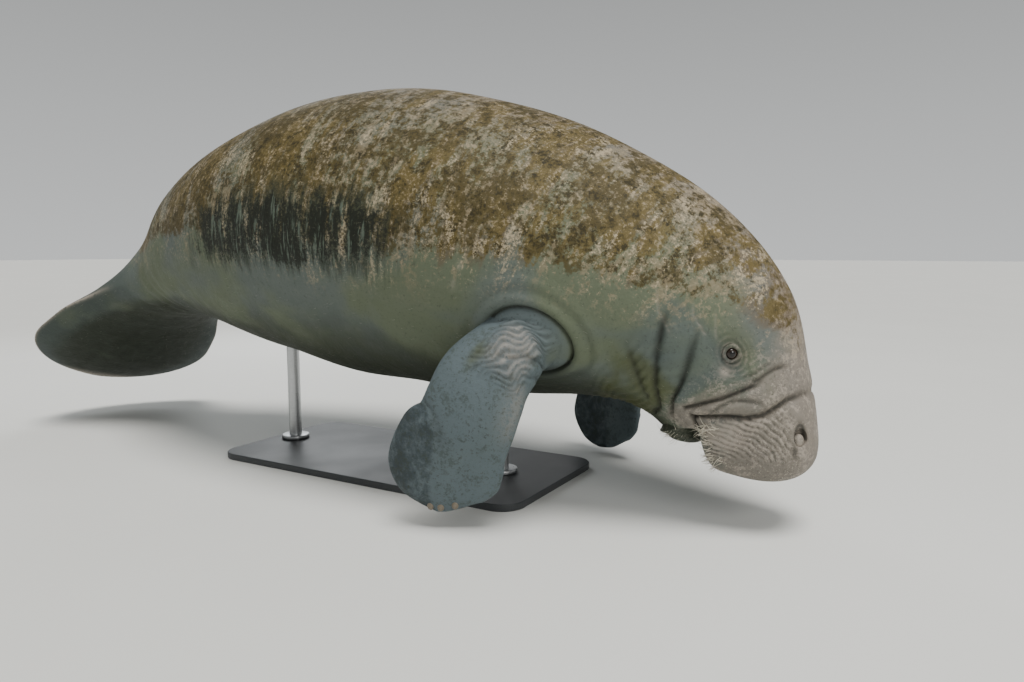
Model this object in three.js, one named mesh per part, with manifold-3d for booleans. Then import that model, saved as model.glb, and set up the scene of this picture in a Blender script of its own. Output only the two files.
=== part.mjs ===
// A still, life-size manatee with its head bent down to feed, held over a flat base by two short rods.
// Millimetres, +Z up, +X towards the head and +Y to the animal's left. The origin is the centre of the
// base's underside. The body is a row of sections along a bent spine: s is the distance along the spine
// from the snout's tip, and b is the angle round a section from the middle of the back, positive on the
// animal's right side and 180 at the middle of the belly.

import * as THREE from "three";
import { mergeVertices } from "three/addons/utils/BufferGeometryUtils.js";
import Module from "manifold-3d";

const wasm = await Module();
wasm.setup();

const DEG = Math.PI / 180;
const GAP = 0.3; // air between pieces that touch

// The spine
const SPINE_LENGTH = 2790;
const MID_BODY = 1190; // the point of the spine that stands over the origin
const MID_HEIGHT = 650; // and its height over the floor
const SPINE_STEP = 5;

// Sections: pitch is the spine's rise towards the head and roll lifts the right edge, both in degrees;
// lean tilts a section's back towards the snout; wide, up and down are the half width and the heights
// over and under the spine; edge is 1 for an ellipse, less for a boxier section, more for a lens.
const SECTIONS = [
  { s: 0, pitch: -86, roll: 0, lean: 0.25, wide: 116, up: 162, down: 122, edge: 0.8 },
  { s: 55, pitch: -82, roll: 0, lean: 0.22, wide: 124, up: 180, down: 126, edge: 0.8 },
  { s: 100, pitch: -75, roll: 0, lean: 0.12, wide: 126, up: 186, down: 128, edge: 0.85 },
  { s: 165, pitch: -66, roll: 0, lean: 0, wide: 142, up: 203, down: 145, edge: 0.95 },
  { s: 265, pitch: -50, roll: 0, lean: 0, wide: 190, up: 254, down: 175, edge: 1 },
  { s: 420, pitch: -33, roll: 0, lean: 0, wide: 255, up: 294, down: 240, edge: 1 },
  { s: 620, pitch: -20, roll: 0, lean: 0, wide: 325, up: 326, down: 318, edge: 1 },
  { s: 890, pitch: -11, roll: 0, lean: 0, wide: 380, up: 365, down: 378, edge: 1 },
  { s: 1190, pitch: -2, roll: 0, lean: 0, wide: 400, up: 390, down: 394, edge: 1 },
  { s: 1540, pitch: 6, roll: 0, lean: 0, wide: 372, up: 354, down: 331, edge: 1 },
  { s: 1890, pitch: 14, roll: 0, lean: 0, wide: 280, up: 282, down: 202, edge: 1 },
  { s: 2130, pitch: 24, roll: 4, lean: 0, wide: 196, up: 162, down: 118, edge: 1 },
  { s: 2290, pitch: 34, roll: 14, lean: 0, wide: 226, up: 82, down: 78, edge: 1.2 },
  { s: 2440, pitch: 38, roll: 18, lean: 0, wide: 280, up: 45, down: 45, edge: 1.3 },
  { s: 2590, pitch: 36, roll: 18, lean: 0, wide: 305, up: 30, down: 30, edge: 1.3 },
  { s: 2780, pitch: 30, roll: 18, lean: 0, wide: 288, up: 18, down: 18, edge: 1.3 },
];
const SNOUT_ROUNDING = { length: 95, power: 2.6 };
const TAIL_ROUNDING = { length: 270, power: 2.1 };

// Where the body is parted, and how far apart the rings of each part are
const MUZZLE_END = 135;
const BODY_PARTS = [
  { name: "head", from: MUZZLE_END, to: 330, step: 15 },
  { name: "neck", from: 330, to: 420, step: 18 },
  { name: "chest", from: 420, to: 930, step: 46 },
  { name: "trunk_middle", from: 930, to: 1460, step: 60 },
  { name: "trunk_rear", from: 1460, to: 1930, step: 60 },
  { name: "tail_stock", from: 1930, to: 2230, step: 43 },
  { name: "tail_paddle", from: 2230, to: SPINE_LENGTH, step: 48 },
];
const BODY_SEGMENTS = 48;
const MUZZLE_RINGS = [0.6, 3, 8, 16, 28, 42, 58, 75, 92, 108, 122, MUZZLE_END];
const JAW_RINGS = [0.01, 0.05, 0.15, 0.32, 0.55, 0.78, 1]; // parts of the jaw's length
const TAIL_TURNS = 10; // steps round the end of the paddle

// Folds of the skin as lines of [s, b], alike on both sides. Each keeps the part called last of its
// depth at its line's end, and gets there over the last stretch of the line.
const LIP_PAD_LINE = [[160, 97], [154, 86], [135, 78], [131, 66], [134, 50], [137, 32], [134, 0]];
const FOLDS = [
  { name: "lip pad", depth: 12, wide: 12, last: 0.25, line: LIP_PAD_LINE },
  { name: "cheek", depth: 6, wide: 12, last: 0, line: [[184, 98], [180, 80], [178, 66], [180, 52]] },
  { name: "jaw", depth: 8, wide: 15, last: 0, line: [[192, 116], [214, 101], [244, 83], [286, 67]] },
  { name: "throat", depth: 7, wide: 17, last: 0, line: [[206, 136], [246, 112], [316, 90], [345, 78]] },
  { name: "mouth corner", depth: 9, wide: 8, last: 0, line: [[128, 99], [172, 98]] },
];
const FOLD_FADE = 0.25;

// Lip pad and lower jaw, parted by the mouth. The jaw is its own row of sections: middle is how far
// their middle lies under the spine.
const LIP_PAD_DOWN = 41;
const LIP_PAD_EDGE = 0.45;
const JAW_SECTIONS = [
  { s: 52, middle: 85, halfHeight: 41, halfWidth: 94 },
  { s: 100, middle: 86, halfHeight: 43, halfWidth: 100 },
  { s: 135, middle: 90, halfHeight: 48, halfWidth: 126 },
];
const JAW_ROUNDING = { length: 42, power: 2.2 };
const JAW_EDGE = 0.85;
const LIP_CLEFT = { s: 0, v: -8, halfWidth: 6, halfHeight: 48, depth: 30 };

// Face
const EYE = { s: 232, b: 61.5, radius: 14, sunk: 10 };
const LID = { radius: 17, thickness: 5 };
const NOSTRIL = { s: 92, b: 30.5, along: 20, across: 17, depth: 10 };
const NOSTRIL_VALVE = { along: 16, across: 14, depth: 10, shift: 6 };

// Flippers: stations off the shoulder for the right one, with the way forward, out and up, then the
// chord, the thickness and how far the trailing side curls in towards the belly
const SHOULDER = { s: 563, b: 116 };
const SHOULDER_FOLD = { alongSpine: 110, round: 18, radius: 26, proud: 8 };
const FLIPPER = [
  { forward: 20, out: -68, up: 50, chord: 170, thick: 150, curl: 0 },
  { forward: -22, out: -12, up: 10, chord: 166, thick: 146, curl: 0 },
  { forward: -38, out: 42, up: -26, chord: 184, thick: 122, curl: 0 },
  { forward: -56, out: 80, up: -68, chord: 202, thick: 96, curl: 2 },
  { forward: -68, out: 100, up: -114, chord: 208, thick: 77, curl: 8 },
  { forward: -85, out: 110, up: -164, chord: 214, thick: 62, curl: 19 },
  { forward: -115, out: 113, up: -214, chord: 248, thick: 50, curl: 30 },
  { forward: -139, out: 112, up: -268, chord: 256, thick: 40, curl: 30 },
  { forward: -154, out: 108, up: -324, chord: 222, thick: 30, curl: 22 },
  { forward: -160, out: 102, up: -362, chord: 172, thick: 22, curl: 14 },
];
// The way of the leading edge (forward, out, up) at the root and past the elbow
const FLIPPER_FRONT = { root: [0.8, -0.41, -0.43], tip: [0.9, -0.43, 0.05], elbow: 0.625 };
const FLIPPER_FULLER_FRONT = 0.2; // how much thicker the leading side is than the middle
const CURL_START = 0.1; // the trailing side curls from this part of the chord
const FLIPPER_ROUNDING = { length: 0.2, power: 2 };
const WRIST = 0.5; // part of the flipper's path where the arm ends and the hand starts
const FLIPPER_SEGMENTS = 28;
const FLIPPER_RINGS = { arm: 9, hand: 10 };
const FLIPPER_TIP_RINGS = [0.99, 0.998];
const LEFT_SWING = 11; // degrees that the left flipper hangs further forward

// Nails, on the outer face near the tip: place along the flipper's path and across its chord
const NAILS = [
  { along: 0.93, across: 0.5 },
  { along: 0.955, across: 0.12 },
  { along: 0.955, across: -0.26 },
];
const NAIL = { length: 19, width: 15, height: 5 };
const NAIL_STEP = 0.1; // turn round the hand, in radians, over which a nail's lie is taken

// Display stand
const BASE = { length: 1000, width: 480, height: 18, corner: 60, bevel: 2 };
const RODS = [
  { name: "stand_rod_front", x: 330, under: "chest" },
  { name: "stand_rod_rear", x: -430, under: "trunk_rear" },
];
const ROD = { radius: 19, collarRadius: 42, collarHeight: 12, collarSlope: 6, reach: 480 };

const MATERIALS = {
  skin: new THREE.MeshStandardMaterial({ color: 0x7c7466, roughness: 0.6, metalness: 0 }),
  muzzle: new THREE.MeshStandardMaterial({ color: 0x77736c, roughness: 0.6, metalness: 0 }),
  flipper: new THREE.MeshStandardMaterial({ color: 0x66706a, roughness: 0.6, metalness: 0 }),
  tail: new THREE.MeshStandardMaterial({ color: 0x56625c, roughness: 0.6, metalness: 0 }),
  eye: new THREE.MeshStandardMaterial({ color: 0x17120f, roughness: 0.1, metalness: 0 }),
  nail: new THREE.MeshStandardMaterial({ color: 0xa59a82, roughness: 0.4, metalness: 0 }),
  base: new THREE.MeshStandardMaterial({ color: 0x2b2c2e, roughness: 0.5, metalness: 0 }),
  rod: new THREE.MeshStandardMaterial({ color: 0xb4b6b8, roughness: 0.35, metalness: 1 }),
};

// A smooth value along knots, with no overshoot between them
function track(xs, ys) {
  const last = xs.length - 1;
  const slopes = xs.slice(1).map((x, i) => (ys[i + 1] - ys[i]) / (x - xs[i]));
  const tangents = xs.map((x, i) => {
    if (i === 0) return slopes[0];
    if (i === last) return slopes[last - 1];
    if (slopes[i - 1] * slopes[i] <= 0) return 0;
    const before = x - xs[i - 1];
    const after = xs[i + 1] - x;
    return (3 * (before + after)) / ((2 * after + before) / slopes[i - 1] + (after + 2 * before) / slopes[i]);
  });
  return (x) => {
    const c = THREE.MathUtils.clamp(x, xs[0], xs[last]);
    let i = 0;
    while (i < last - 1 && c > xs[i + 1]) i += 1;
    const h = xs[i + 1] - xs[i];
    const t = (c - xs[i]) / h;
    const start = ys[i] * (1 + 2 * t) * (1 - t) ** 2 + tangents[i] * h * t * (1 - t) ** 2;
    const end = ys[i + 1] * t * t * (3 - 2 * t) - tangents[i + 1] * h * t * t * (1 - t);
    return start + end;
  };
}

function tracks(rows, keys, place) {
  const xs = rows.map(place);
  return Object.fromEntries(keys.map((key) => [key, track(xs, rows.map((row) => row[key]))]));
}

const section = tracks(SECTIONS, ["pitch", "roll", "lean", "wide", "up", "down", "edge"], (row) => row.s);

const power = (value, exponent) => Math.sign(value) * Math.abs(value) ** exponent;

// How full a section is at a distance from a rounded end
function rounding(distance, { length, power: n }) {
  if (distance >= length) return 1;
  return (1 - (1 - distance / length) ** n) ** (1 / n);
}

function heading(s) {
  const pitch = section.pitch(s) * DEG;
  return new THREE.Vector3(Math.cos(pitch), 0, Math.sin(pitch));
}

const spine = [new THREE.Vector3()];
for (let s = 0; s < SPINE_LENGTH; s += SPINE_STEP) {
  spine.push(spine.at(-1).clone().addScaledVector(heading(s + SPINE_STEP / 2), -SPINE_STEP));
}

function spineAt(s) {
  const k = Math.min(s / SPINE_STEP, spine.length - 1.001);
  const i = Math.floor(k);
  return spine[i].clone().lerp(spine[i + 1], k - i);
}

const spineShift = new THREE.Vector3(0, 0, MID_HEIGHT).sub(spineAt(MID_BODY));

// The spine's point at s with the ways ahead, to the animal's right and up through its back
function frameAt(s) {
  const ahead = heading(s);
  const right = new THREE.Vector3(0, -1, 0).applyAxisAngle(ahead, -section.roll(s) * DEG);
  const up = right.clone().cross(ahead);
  return { origin: spineAt(s).add(spineShift), ahead, right, up };
}

// A point in a section's own plane, u to the right and v up
function inSection(s, u, v) {
  const { origin, ahead, right, up } = frameAt(s);
  return origin.addScaledVector(right, u).addScaledVector(up, v).addScaledVector(ahead, section.lean(s) * v);
}

// Depth of all folds at a place of the skin
function foldDepth(s, b) {
  let depth = 0;
  const side = Math.abs(b);
  const degree = 0.5 * DEG * (section.wide(s) + section.up(s)); // length of one degree of b
  for (const fold of FOLDS) {
    let nearest = { distance: Infinity, along: 0 };
    fold.line.slice(1).forEach(([s1, b1], i) => {
      const [s0, b0] = fold.line[i];
      const run = [s1 - s0, (b1 - b0) * degree];
      const to = [s - s0, (side - b0) * degree];
      const reach = (to[0] * run[0] + to[1] * run[1]) / (run[0] ** 2 + run[1] ** 2);
      const t = THREE.MathUtils.clamp(reach, 0, 1);
      const distance = Math.hypot(to[0] - t * run[0], to[1] - t * run[1]);
      if (distance < nearest.distance) nearest = { distance, along: (i + t) / (fold.line.length - 1) };
    });
    const left = Math.min(1, (1 - nearest.along) / FOLD_FADE);
    const share = fold.last + (1 - fold.last) * left;
    depth += fold.depth * share * Math.exp(-((nearest.distance / fold.wide) ** 2));
  }
  return depth;
}

// A point of the skin, lifted off it by a small distance
function skinPoint(s, b, lift = 0) {
  const full = rounding(s, SNOUT_ROUNDING);
  const tail = rounding(SPINE_LENGTH - s, TAIL_ROUNDING);
  const edge = section.edge(s);
  const sine = Math.sin(b * DEG);
  const cosine = Math.cos(b * DEG);
  const wide = section.wide(s) * full * tail;
  const height = (cosine > 0 ? section.up(s) : section.down(s)) * full * Math.sqrt(tail);
  const u = wide * power(sine, Math.min(edge, 1));
  const v = height * power(cosine, edge);
  const outward = new THREE.Vector2(u / (wide * wide + 1), v / (height * height + 1)).normalize();
  const off = lift - foldDepth(s, b) * full;
  return inSection(s, u + off * outward.x, v + off * outward.y);
}

// The skin's point with its outward normal and the way back along the body
function skinFrame(s, b) {
  const point = skinPoint(s, b);
  const back = skinPoint(s + 4, b).sub(skinPoint(s - 4, b)).normalize();
  const round = skinPoint(s, b + 2).sub(skinPoint(s, b - 2)).normalize();
  const normal = round.clone().cross(back).normalize();
  if (normal.dot(point.clone().sub(frameAt(s).origin)) < 0) normal.negate();
  return { point, normal, back };
}

// Closed geometry through rings of points, wound with the rings in order and capped with fans
function loft(rings) {
  const count = rings[0].length;
  const positions = rings.flat().flatMap((p) => [p.x, p.y, p.z]);
  const index = [];
  for (let j = 0; j < rings.length - 1; j += 1) {
    for (let i = 0; i < count; i += 1) {
      const a = j * count + i;
      const b = j * count + ((i + 1) % count);
      index.push(a, b, b + count, a, b + count, a + count);
    }
  }
  const addFan = (ring, start, turn) => {
    const middle = ring.reduce((sum, p) => sum.add(p), new THREE.Vector3()).divideScalar(count);
    const centre = positions.length / 3;
    positions.push(middle.x, middle.y, middle.z);
    for (let i = 0; i < count; i += 1) {
      const pair = [start + i, start + ((i + 1) % count)];
      if (turn) pair.reverse();
      index.push(...pair, centre);
    }
  };
  addFan(rings[0], 0, true);
  addFan(rings.at(-1), (rings.length - 1) * count, false);
  return facingOut(positions, index);
}

function signedVolume(positions, index) {
  const at = (k) => new THREE.Vector3(...positions.slice(3 * k, 3 * k + 3));
  let sum = 0;
  for (let i = 0; i < index.length; i += 3) {
    sum += at(index[i]).dot(at(index[i + 1]).cross(at(index[i + 2])));
  }
  return sum / 6;
}

function facingOut(positions, index) {
  const turned = signedVolume(positions, index) < 0 ? index.slice().reverse() : index;
  const geometry = new THREE.BufferGeometry();
  geometry.setAttribute("position", new THREE.Float32BufferAttribute(positions, 3));
  geometry.setIndex(turned);
  return geometry;
}

// A closed hoop of round section along a closed line of points
function hoop(points, radius, sides = 8) {
  const count = points.length;
  const centre = points.reduce((sum, p) => sum.clone().add(p), new THREE.Vector3()).divideScalar(count);
  const positions = [];
  const index = [];
  points.forEach((point, j) => {
    const along = points[(j + 1) % count].clone().sub(points[(j + count - 1) % count]).normalize();
    const outward = point.clone().sub(centre);
    outward.addScaledVector(along, -outward.dot(along)).normalize();
    const over = along.clone().cross(outward);
    for (let i = 0; i < sides; i += 1) {
      const a = (2 * Math.PI * i) / sides;
      const q = point.clone().addScaledVector(outward, radius * Math.cos(a));
      q.addScaledVector(over, radius * Math.sin(a));
      positions.push(q.x, q.y, q.z);
      const [p0, p1] = [j * sides + i, j * sides + ((i + 1) % sides)];
      const [n0, n1] = [((j + 1) % count) * sides + i, ((j + 1) % count) * sides + ((i + 1) % sides)];
      index.push(p0, p1, n1, p0, n1, n0);
    }
  });
  return facingOut(positions, index);
}

// Booleans
function solid(geometry) {
  const bare = new THREE.BufferGeometry();
  bare.setAttribute("position", geometry.getAttribute("position"));
  bare.setIndex(geometry.getIndex());
  const merged = mergeVertices(bare, 1e-3);
  return new wasm.Manifold(new wasm.Mesh({
    numProp: 3,
    vertProperties: new Float32Array(merged.getAttribute("position").array),
    triVerts: new Uint32Array(merged.getIndex().array),
  }));
}

// The largest closed surface of a solid
function geometryOf(manifold) {
  const pieces = manifold.decompose();
  const largest = pieces.reduce((best, piece) => (piece.volume() > best.volume() ? piece : best));
  const mesh = largest.getMesh();
  const geometry = new THREE.BufferGeometry();
  geometry.setAttribute("position", new THREE.Float32BufferAttribute(mesh.vertProperties, 3));
  geometry.setIndex(new THREE.BufferAttribute(new Uint32Array(mesh.triVerts), 1));
  return geometry;
}

// A ball squashed along three ways and set at a point
function pebble(point, ways, sizes, around = 16, across = 8) {
  const geometry = new THREE.SphereGeometry(1, around, across);
  const placed = new THREE.Matrix4().makeBasis(...ways.map((way, i) => way.clone().multiplyScalar(sizes[i])));
  placed.setPosition(point);
  geometry.applyMatrix4(placed);
  const position = Array.from(geometry.getAttribute("position").array);
  return facingOut(position, Array.from(geometry.getIndex().array));
}

// Three ways at right angles for a place of the skin: back along the body, round it and out of it
function waysAt({ normal, back }) {
  const along = back.clone().addScaledVector(normal, -back.dot(normal)).normalize();
  return [along, normal.clone().cross(along), normal];
}

const bodyAngles = Array.from({ length: BODY_SEGMENTS }, (_, i) => (360 * i) / BODY_SEGMENTS - 180);

// Places of a part's rings, close together where an end is rounded
function ringPlaces({ from, to, step }) {
  const places = [];
  const end = to === SPINE_LENGTH ? SPINE_LENGTH - TAIL_ROUNDING.length : to;
  const count = Math.max(1, Math.round((end - from) / step));
  for (let i = 0; i <= count; i += 1) places.push(from + ((end - from) * i) / count);
  if (to === SPINE_LENGTH) {
    for (let i = 1; i < TAIL_TURNS; i += 1) {
      places.push(end + TAIL_ROUNDING.length * Math.sin((i / TAIL_TURNS) * 90 * DEG));
    }
    places.push(SPINE_LENGTH - 1);
  }
  return places;
}

// A length of the body between two flat faces, each half a gap short
function bodyLength(part, lift = 0) {
  const places = ringPlaces(part);
  const rings = places.map((s) => bodyAngles.map((b) => skinPoint(s, b, lift)));
  const inset = lift ? 0 : GAP / 2;
  rings[0].forEach((p) => p.addScaledVector(heading(places[0]), -inset));
  if (part.to < SPINE_LENGTH) {
    rings.at(-1).forEach((p) => p.addScaledVector(heading(places.at(-1)), inset));
  }
  return loft(rings);
}

// The upper lip: its back and sides are the skin's, and its underside is the roof of the mouth
function makeMuzzle() {
  const rings = MUZZLE_RINGS.map((s) => bodyAngles.map((b) => {
    const full = rounding(s, SNOUT_ROUNDING);
    if (Math.abs(b) <= 90) return skinPoint(s, b);
    const u = section.wide(s) * full * power(Math.sin(b * DEG), LIP_PAD_EDGE);
    const v = LIP_PAD_DOWN * full * power(Math.cos(b * DEG), LIP_PAD_EDGE);
    return inSection(s, u, v);
  }));
  rings.at(-1).forEach((p) => p.addScaledVector(heading(MUZZLE_END), GAP / 2));
  let muzzle = solid(loft(rings));
  const { ahead, right, up } = frameAt(LIP_CLEFT.s);
  const cleftPoint = inSection(LIP_CLEFT.s, 0, LIP_CLEFT.v);
  const cleftSizes = [LIP_CLEFT.halfWidth, LIP_CLEFT.halfHeight, LIP_CLEFT.depth];
  muzzle = muzzle.subtract(solid(pebble(cleftPoint, [right, up, ahead], cleftSizes)));
  for (const side of [1, -1]) {
    const place = skinFrame(NOSTRIL.s, side * NOSTRIL.b);
    const ways = waysAt(place);
    const pit = pebble(place.point, ways, [NOSTRIL.along, NOSTRIL.across, NOSTRIL.depth]);
    const valvePoint = place.point.clone().addScaledVector(ways[0], -NOSTRIL_VALVE.shift);
    valvePoint.addScaledVector(place.normal, 1 - NOSTRIL_VALVE.depth);
    const valveSizes = [NOSTRIL_VALVE.along, NOSTRIL_VALVE.across, NOSTRIL_VALVE.depth];
    muzzle = muzzle.subtract(solid(pit)).add(solid(pebble(valvePoint, ways, valveSizes)));
  }
  return geometryOf(muzzle);
}

function makeLowerJaw() {
  const jaw = tracks(JAW_SECTIONS, ["middle", "halfHeight", "halfWidth"], (row) => row.s);
  const tip = JAW_SECTIONS[0].s;
  const rings = JAW_RINGS.map((part) => {
    const s = tip + (MUZZLE_END - tip) * part;
    const full = rounding(s - tip, JAW_ROUNDING);
    return bodyAngles.filter((_, i) => i % 2 === 0).map((b) => {
      const u = jaw.halfWidth(s) * full * power(Math.sin(b * DEG), JAW_EDGE);
      const v = jaw.halfHeight(s) * full * power(Math.cos(b * DEG), JAW_EDGE);
      return inSection(s, u, v - jaw.middle(s));
    });
  });
  rings.at(-1).forEach((p) => p.addScaledVector(heading(MUZZLE_END), GAP / 2));
  return loft(rings);
}

// Eyes sit deep in the head, each ringed by a low, round lid
function eyeParts(side) {
  const place = skinFrame(EYE.s, side * EYE.b);
  const ways = waysAt(place);
  const centre = place.point.clone().addScaledVector(place.normal, -EYE.sunk);
  const ball = (radius) => pebble(centre, ways, [radius, radius, radius], 18, 10);
  const count = 18;
  const sides = 6;
  const rim = Array.from({ length: count }, (_, i) => {
    const a = (2 * Math.PI * i) / count;
    const point = place.point.clone().addScaledVector(ways[0], LID.radius * Math.cos(a));
    point.addScaledVector(ways[1], LID.radius * Math.sin(a));
    return point.addScaledVector(place.normal, -LID.thickness / 2);
  });
  return { ball: ball(EYE.radius), socket: ball(EYE.radius + GAP), lid: hoop(rim, LID.thickness, sides) };
}

function makeHead(part) {
  let head = solid(bodyLength(part));
  for (const side of [1, -1]) {
    const { socket, lid } = eyeParts(side);
    head = head.add(solid(lid)).subtract(solid(socket));
  }
  return geometryOf(head);
}

// The fold of skin round a shoulder, a little fuller when it is the tool that frees the flipper from it
function shoulderFold(side, lift = 0) {
  const { alongSpine, round, radius, proud } = SHOULDER_FOLD;
  const count = 28;
  const line = Array.from({ length: count }, (_, i) => {
    const a = (2 * Math.PI * i) / count;
    const s = SHOULDER.s + alongSpine * Math.cos(a);
    return skinPoint(s, side * (SHOULDER.b + round * Math.sin(a)), proud - radius);
  });
  return hoop(line, radius + lift);
}

function makeChest(part) {
  let chest = solid(bodyLength(part));
  for (const side of [1, -1]) chest = chest.add(solid(shoulderFold(side)));
  return geometryOf(chest);
}

// A flipper's path, sizes and ways, for the right side (1) or the left (-1)
function flipperShape(side) {
  const shoulder = skinPoint(SHOULDER.s, side * SHOULDER.b);
  const swing = side < 0 ? -LEFT_SWING * DEG : 0;
  const across = new THREE.Vector3(0, 1, 0);
  const turn = (forward, out, up) => (
    new THREE.Vector3(forward, -side * out, up).applyAxisAngle(across, swing)
  );
  const stations = FLIPPER.map(({ forward, out, up }) => turn(forward, out, up).add(shoulder));
  const path = new THREE.CatmullRomCurve3(stations);
  const place = (row) => FLIPPER.indexOf(row) / (FLIPPER.length - 1);
  const sizes = tracks(FLIPPER, ["chord", "thick", "curl"], place);
  const { root, tip, elbow } = FLIPPER_FRONT;
  const front = (t) => turn(...root).lerp(turn(...tip), Math.min(1, t / elbow));
  const point = (t, angle, lift = 0) => {
    const along = path.getTangent(t);
    const fore = front(t).addScaledVector(along, -front(t).dot(along)).normalize();
    const outer = along.clone().cross(fore).multiplyScalar(side);
    const full = rounding(1 - t, FLIPPER_ROUNDING);
    const cosine = Math.cos(angle);
    const chord = (sizes.chord(t) / 2) * full + lift;
    const thick = (sizes.thick(t) / 2) * Math.sqrt(full) * (1 + FLIPPER_FULLER_FRONT * cosine) + lift;
    const curl = sizes.curl(t) * Math.max(0, CURL_START - cosine) ** 2;
    const middle = path.getPoint(t).addScaledVector(fore, chord * cosine);
    return middle.addScaledVector(outer, thick * Math.sin(angle) - curl);
  };
  return { path, point };
}

function flipperLength(side, from, to, count, lift = 0) {
  const { path, point } = flipperShape(side);
  const places = Array.from({ length: count + 1 }, (_, i) => from + ((to - from) * i) / count);
  if (to === 1) places.splice(-1, 1, ...FLIPPER_TIP_RINGS);
  const angles = Array.from({ length: FLIPPER_SEGMENTS }, (_, i) => (2 * Math.PI * i) / FLIPPER_SEGMENTS);
  const rings = places.map((t) => angles.map((a) => point(t, a, lift)));
  if (from > 0) rings[0].forEach((p) => p.addScaledVector(path.getTangent(from), GAP / 2));
  if (to < 1) rings.at(-1).forEach((p) => p.addScaledVector(path.getTangent(to), -GAP / 2));
  return loft(rings);
}

const makeHand = (side, lift) => flipperLength(side, WRIST, 1, FLIPPER_RINGS.hand, lift);

function makeArm(side, chestPart) {
  const chest = solid(bodyLength(chestPart, GAP)).add(solid(shoulderFold(side, GAP)));
  return geometryOf(solid(flipperLength(side, 0, WRIST, FLIPPER_RINGS.arm)).subtract(chest));
}

// A nail lies on the hand's outer face, with all that would sink into the hand cut off
function makeNail(side, { along, across }, hand) {
  const { path, point } = flipperShape(side);
  const angle = Math.acos(across);
  const place = point(along, angle);
  const ahead = path.getTangent(along);
  const round = point(along, angle - NAIL_STEP).sub(point(along, angle + NAIL_STEP)).normalize();
  const normal = round.clone().cross(ahead).normalize();
  if (normal.dot(place.clone().sub(path.getPoint(along))) < 0) normal.negate();
  const toTip = ahead.addScaledVector(normal, -ahead.dot(normal)).normalize();
  const ways = [toTip, normal.clone().cross(toTip), normal];
  const nail = pebble(place, ways, [NAIL.length / 2, NAIL.width / 2, NAIL.height], 12, 8);
  return geometryOf(solid(nail).subtract(hand));
}

function roundedRectangle(length, width, corner) {
  const [x, y] = [length / 2, width / 2];
  const shape = new THREE.Shape();
  shape.moveTo(-x + corner, -y);
  shape.lineTo(x - corner, -y);
  shape.absarc(x - corner, -y + corner, corner, -Math.PI / 2, 0);
  shape.lineTo(x, y - corner);
  shape.absarc(x - corner, y - corner, corner, 0, Math.PI / 2);
  shape.lineTo(-x + corner, y);
  shape.absarc(-x + corner, y - corner, corner, Math.PI / 2, Math.PI);
  shape.lineTo(-x, -y + corner);
  shape.absarc(-x + corner, -y + corner, corner, Math.PI, 1.5 * Math.PI);
  return shape;
}

function makeBase() {
  const shape = roundedRectangle(BASE.length - 2 * BASE.bevel, BASE.width - 2 * BASE.bevel, BASE.corner);
  const depth = BASE.height - 2 * BASE.bevel;
  const bevel = { bevelThickness: BASE.bevel, bevelSize: BASE.bevel, bevelSegments: 1 };
  const geometry = new THREE.ExtrudeGeometry(shape, { depth, curveSegments: 6, ...bevel });
  return geometry.translate(0, 0, BASE.bevel);
}

// A rod with its collar on the base, cut to the belly over it
function makeRod({ x }, part) {
  const { collarRadius, collarHeight, collarSlope, radius, reach } = ROD;
  const collar = [[0, 0], [collarRadius, 0], [collarRadius, collarHeight]];
  const shaft = [[radius, collarHeight + collarSlope], [radius, reach], [0, reach]];
  const profile = [...collar, ...shaft].map(([r, z]) => new THREE.Vector2(r, z));
  const lathe = new THREE.LatheGeometry(profile, 24);
  lathe.rotateX(Math.PI / 2).translate(x, 0, BASE.height + GAP);
  return geometryOf(solid(lathe).subtract(solid(bodyLength(part, GAP))));
}

const manatee = new THREE.Group();
function addPart(name, geometry, material) {
  const mesh = new THREE.Mesh(geometry, material);
  mesh.name = name;
  manatee.add(mesh);
}

const partNamed = (name) => BODY_PARTS.find((part) => part.name === name);
addPart("muzzle", makeMuzzle(), MATERIALS.muzzle);
addPart("lower_jaw", makeLowerJaw(), MATERIALS.muzzle);
for (const part of BODY_PARTS) {
  const make = { head: makeHead, chest: makeChest }[part.name] ?? bodyLength;
  addPart(part.name, make(part), part.name.startsWith("tail") ? MATERIALS.tail : MATERIALS.skin);
}
for (const [word, side] of [["right", 1], ["left", -1]]) {
  addPart(`eye_${word}`, eyeParts(side).ball, MATERIALS.eye);
  addPart(`flipper_${word}_arm`, makeArm(side, partNamed("chest")), MATERIALS.flipper);
  addPart(`flipper_${word}_hand`, makeHand(side, 0), MATERIALS.flipper);
  const grownHand = solid(makeHand(side, GAP));
  NAILS.forEach((nail, i) => {
    addPart(`nail_${word}_${i + 1}`, makeNail(side, nail, grownHand), MATERIALS.nail);
  });
}
addPart("stand_base", makeBase(), MATERIALS.base);
for (const rod of RODS) addPart(rod.name, makeRod(rod, partNamed(rod.under)), MATERIALS.rod);

export default manatee;
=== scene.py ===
"""A still, life-size manatee with its head bent down to feed, on a display stand.

Metres, +Z up, +X towards the head and +Y to the animal's left. The skin is laid out over a bent spine:
s is the distance along the spine from the snout's tip, and b is the angle in degrees round a section
from the middle of the back, positive on the animal's right side and 180 at the middle of the belly.
"""

import math

import bpy
import numpy as np
from mathutils import Matrix, Vector, kdtree


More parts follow.
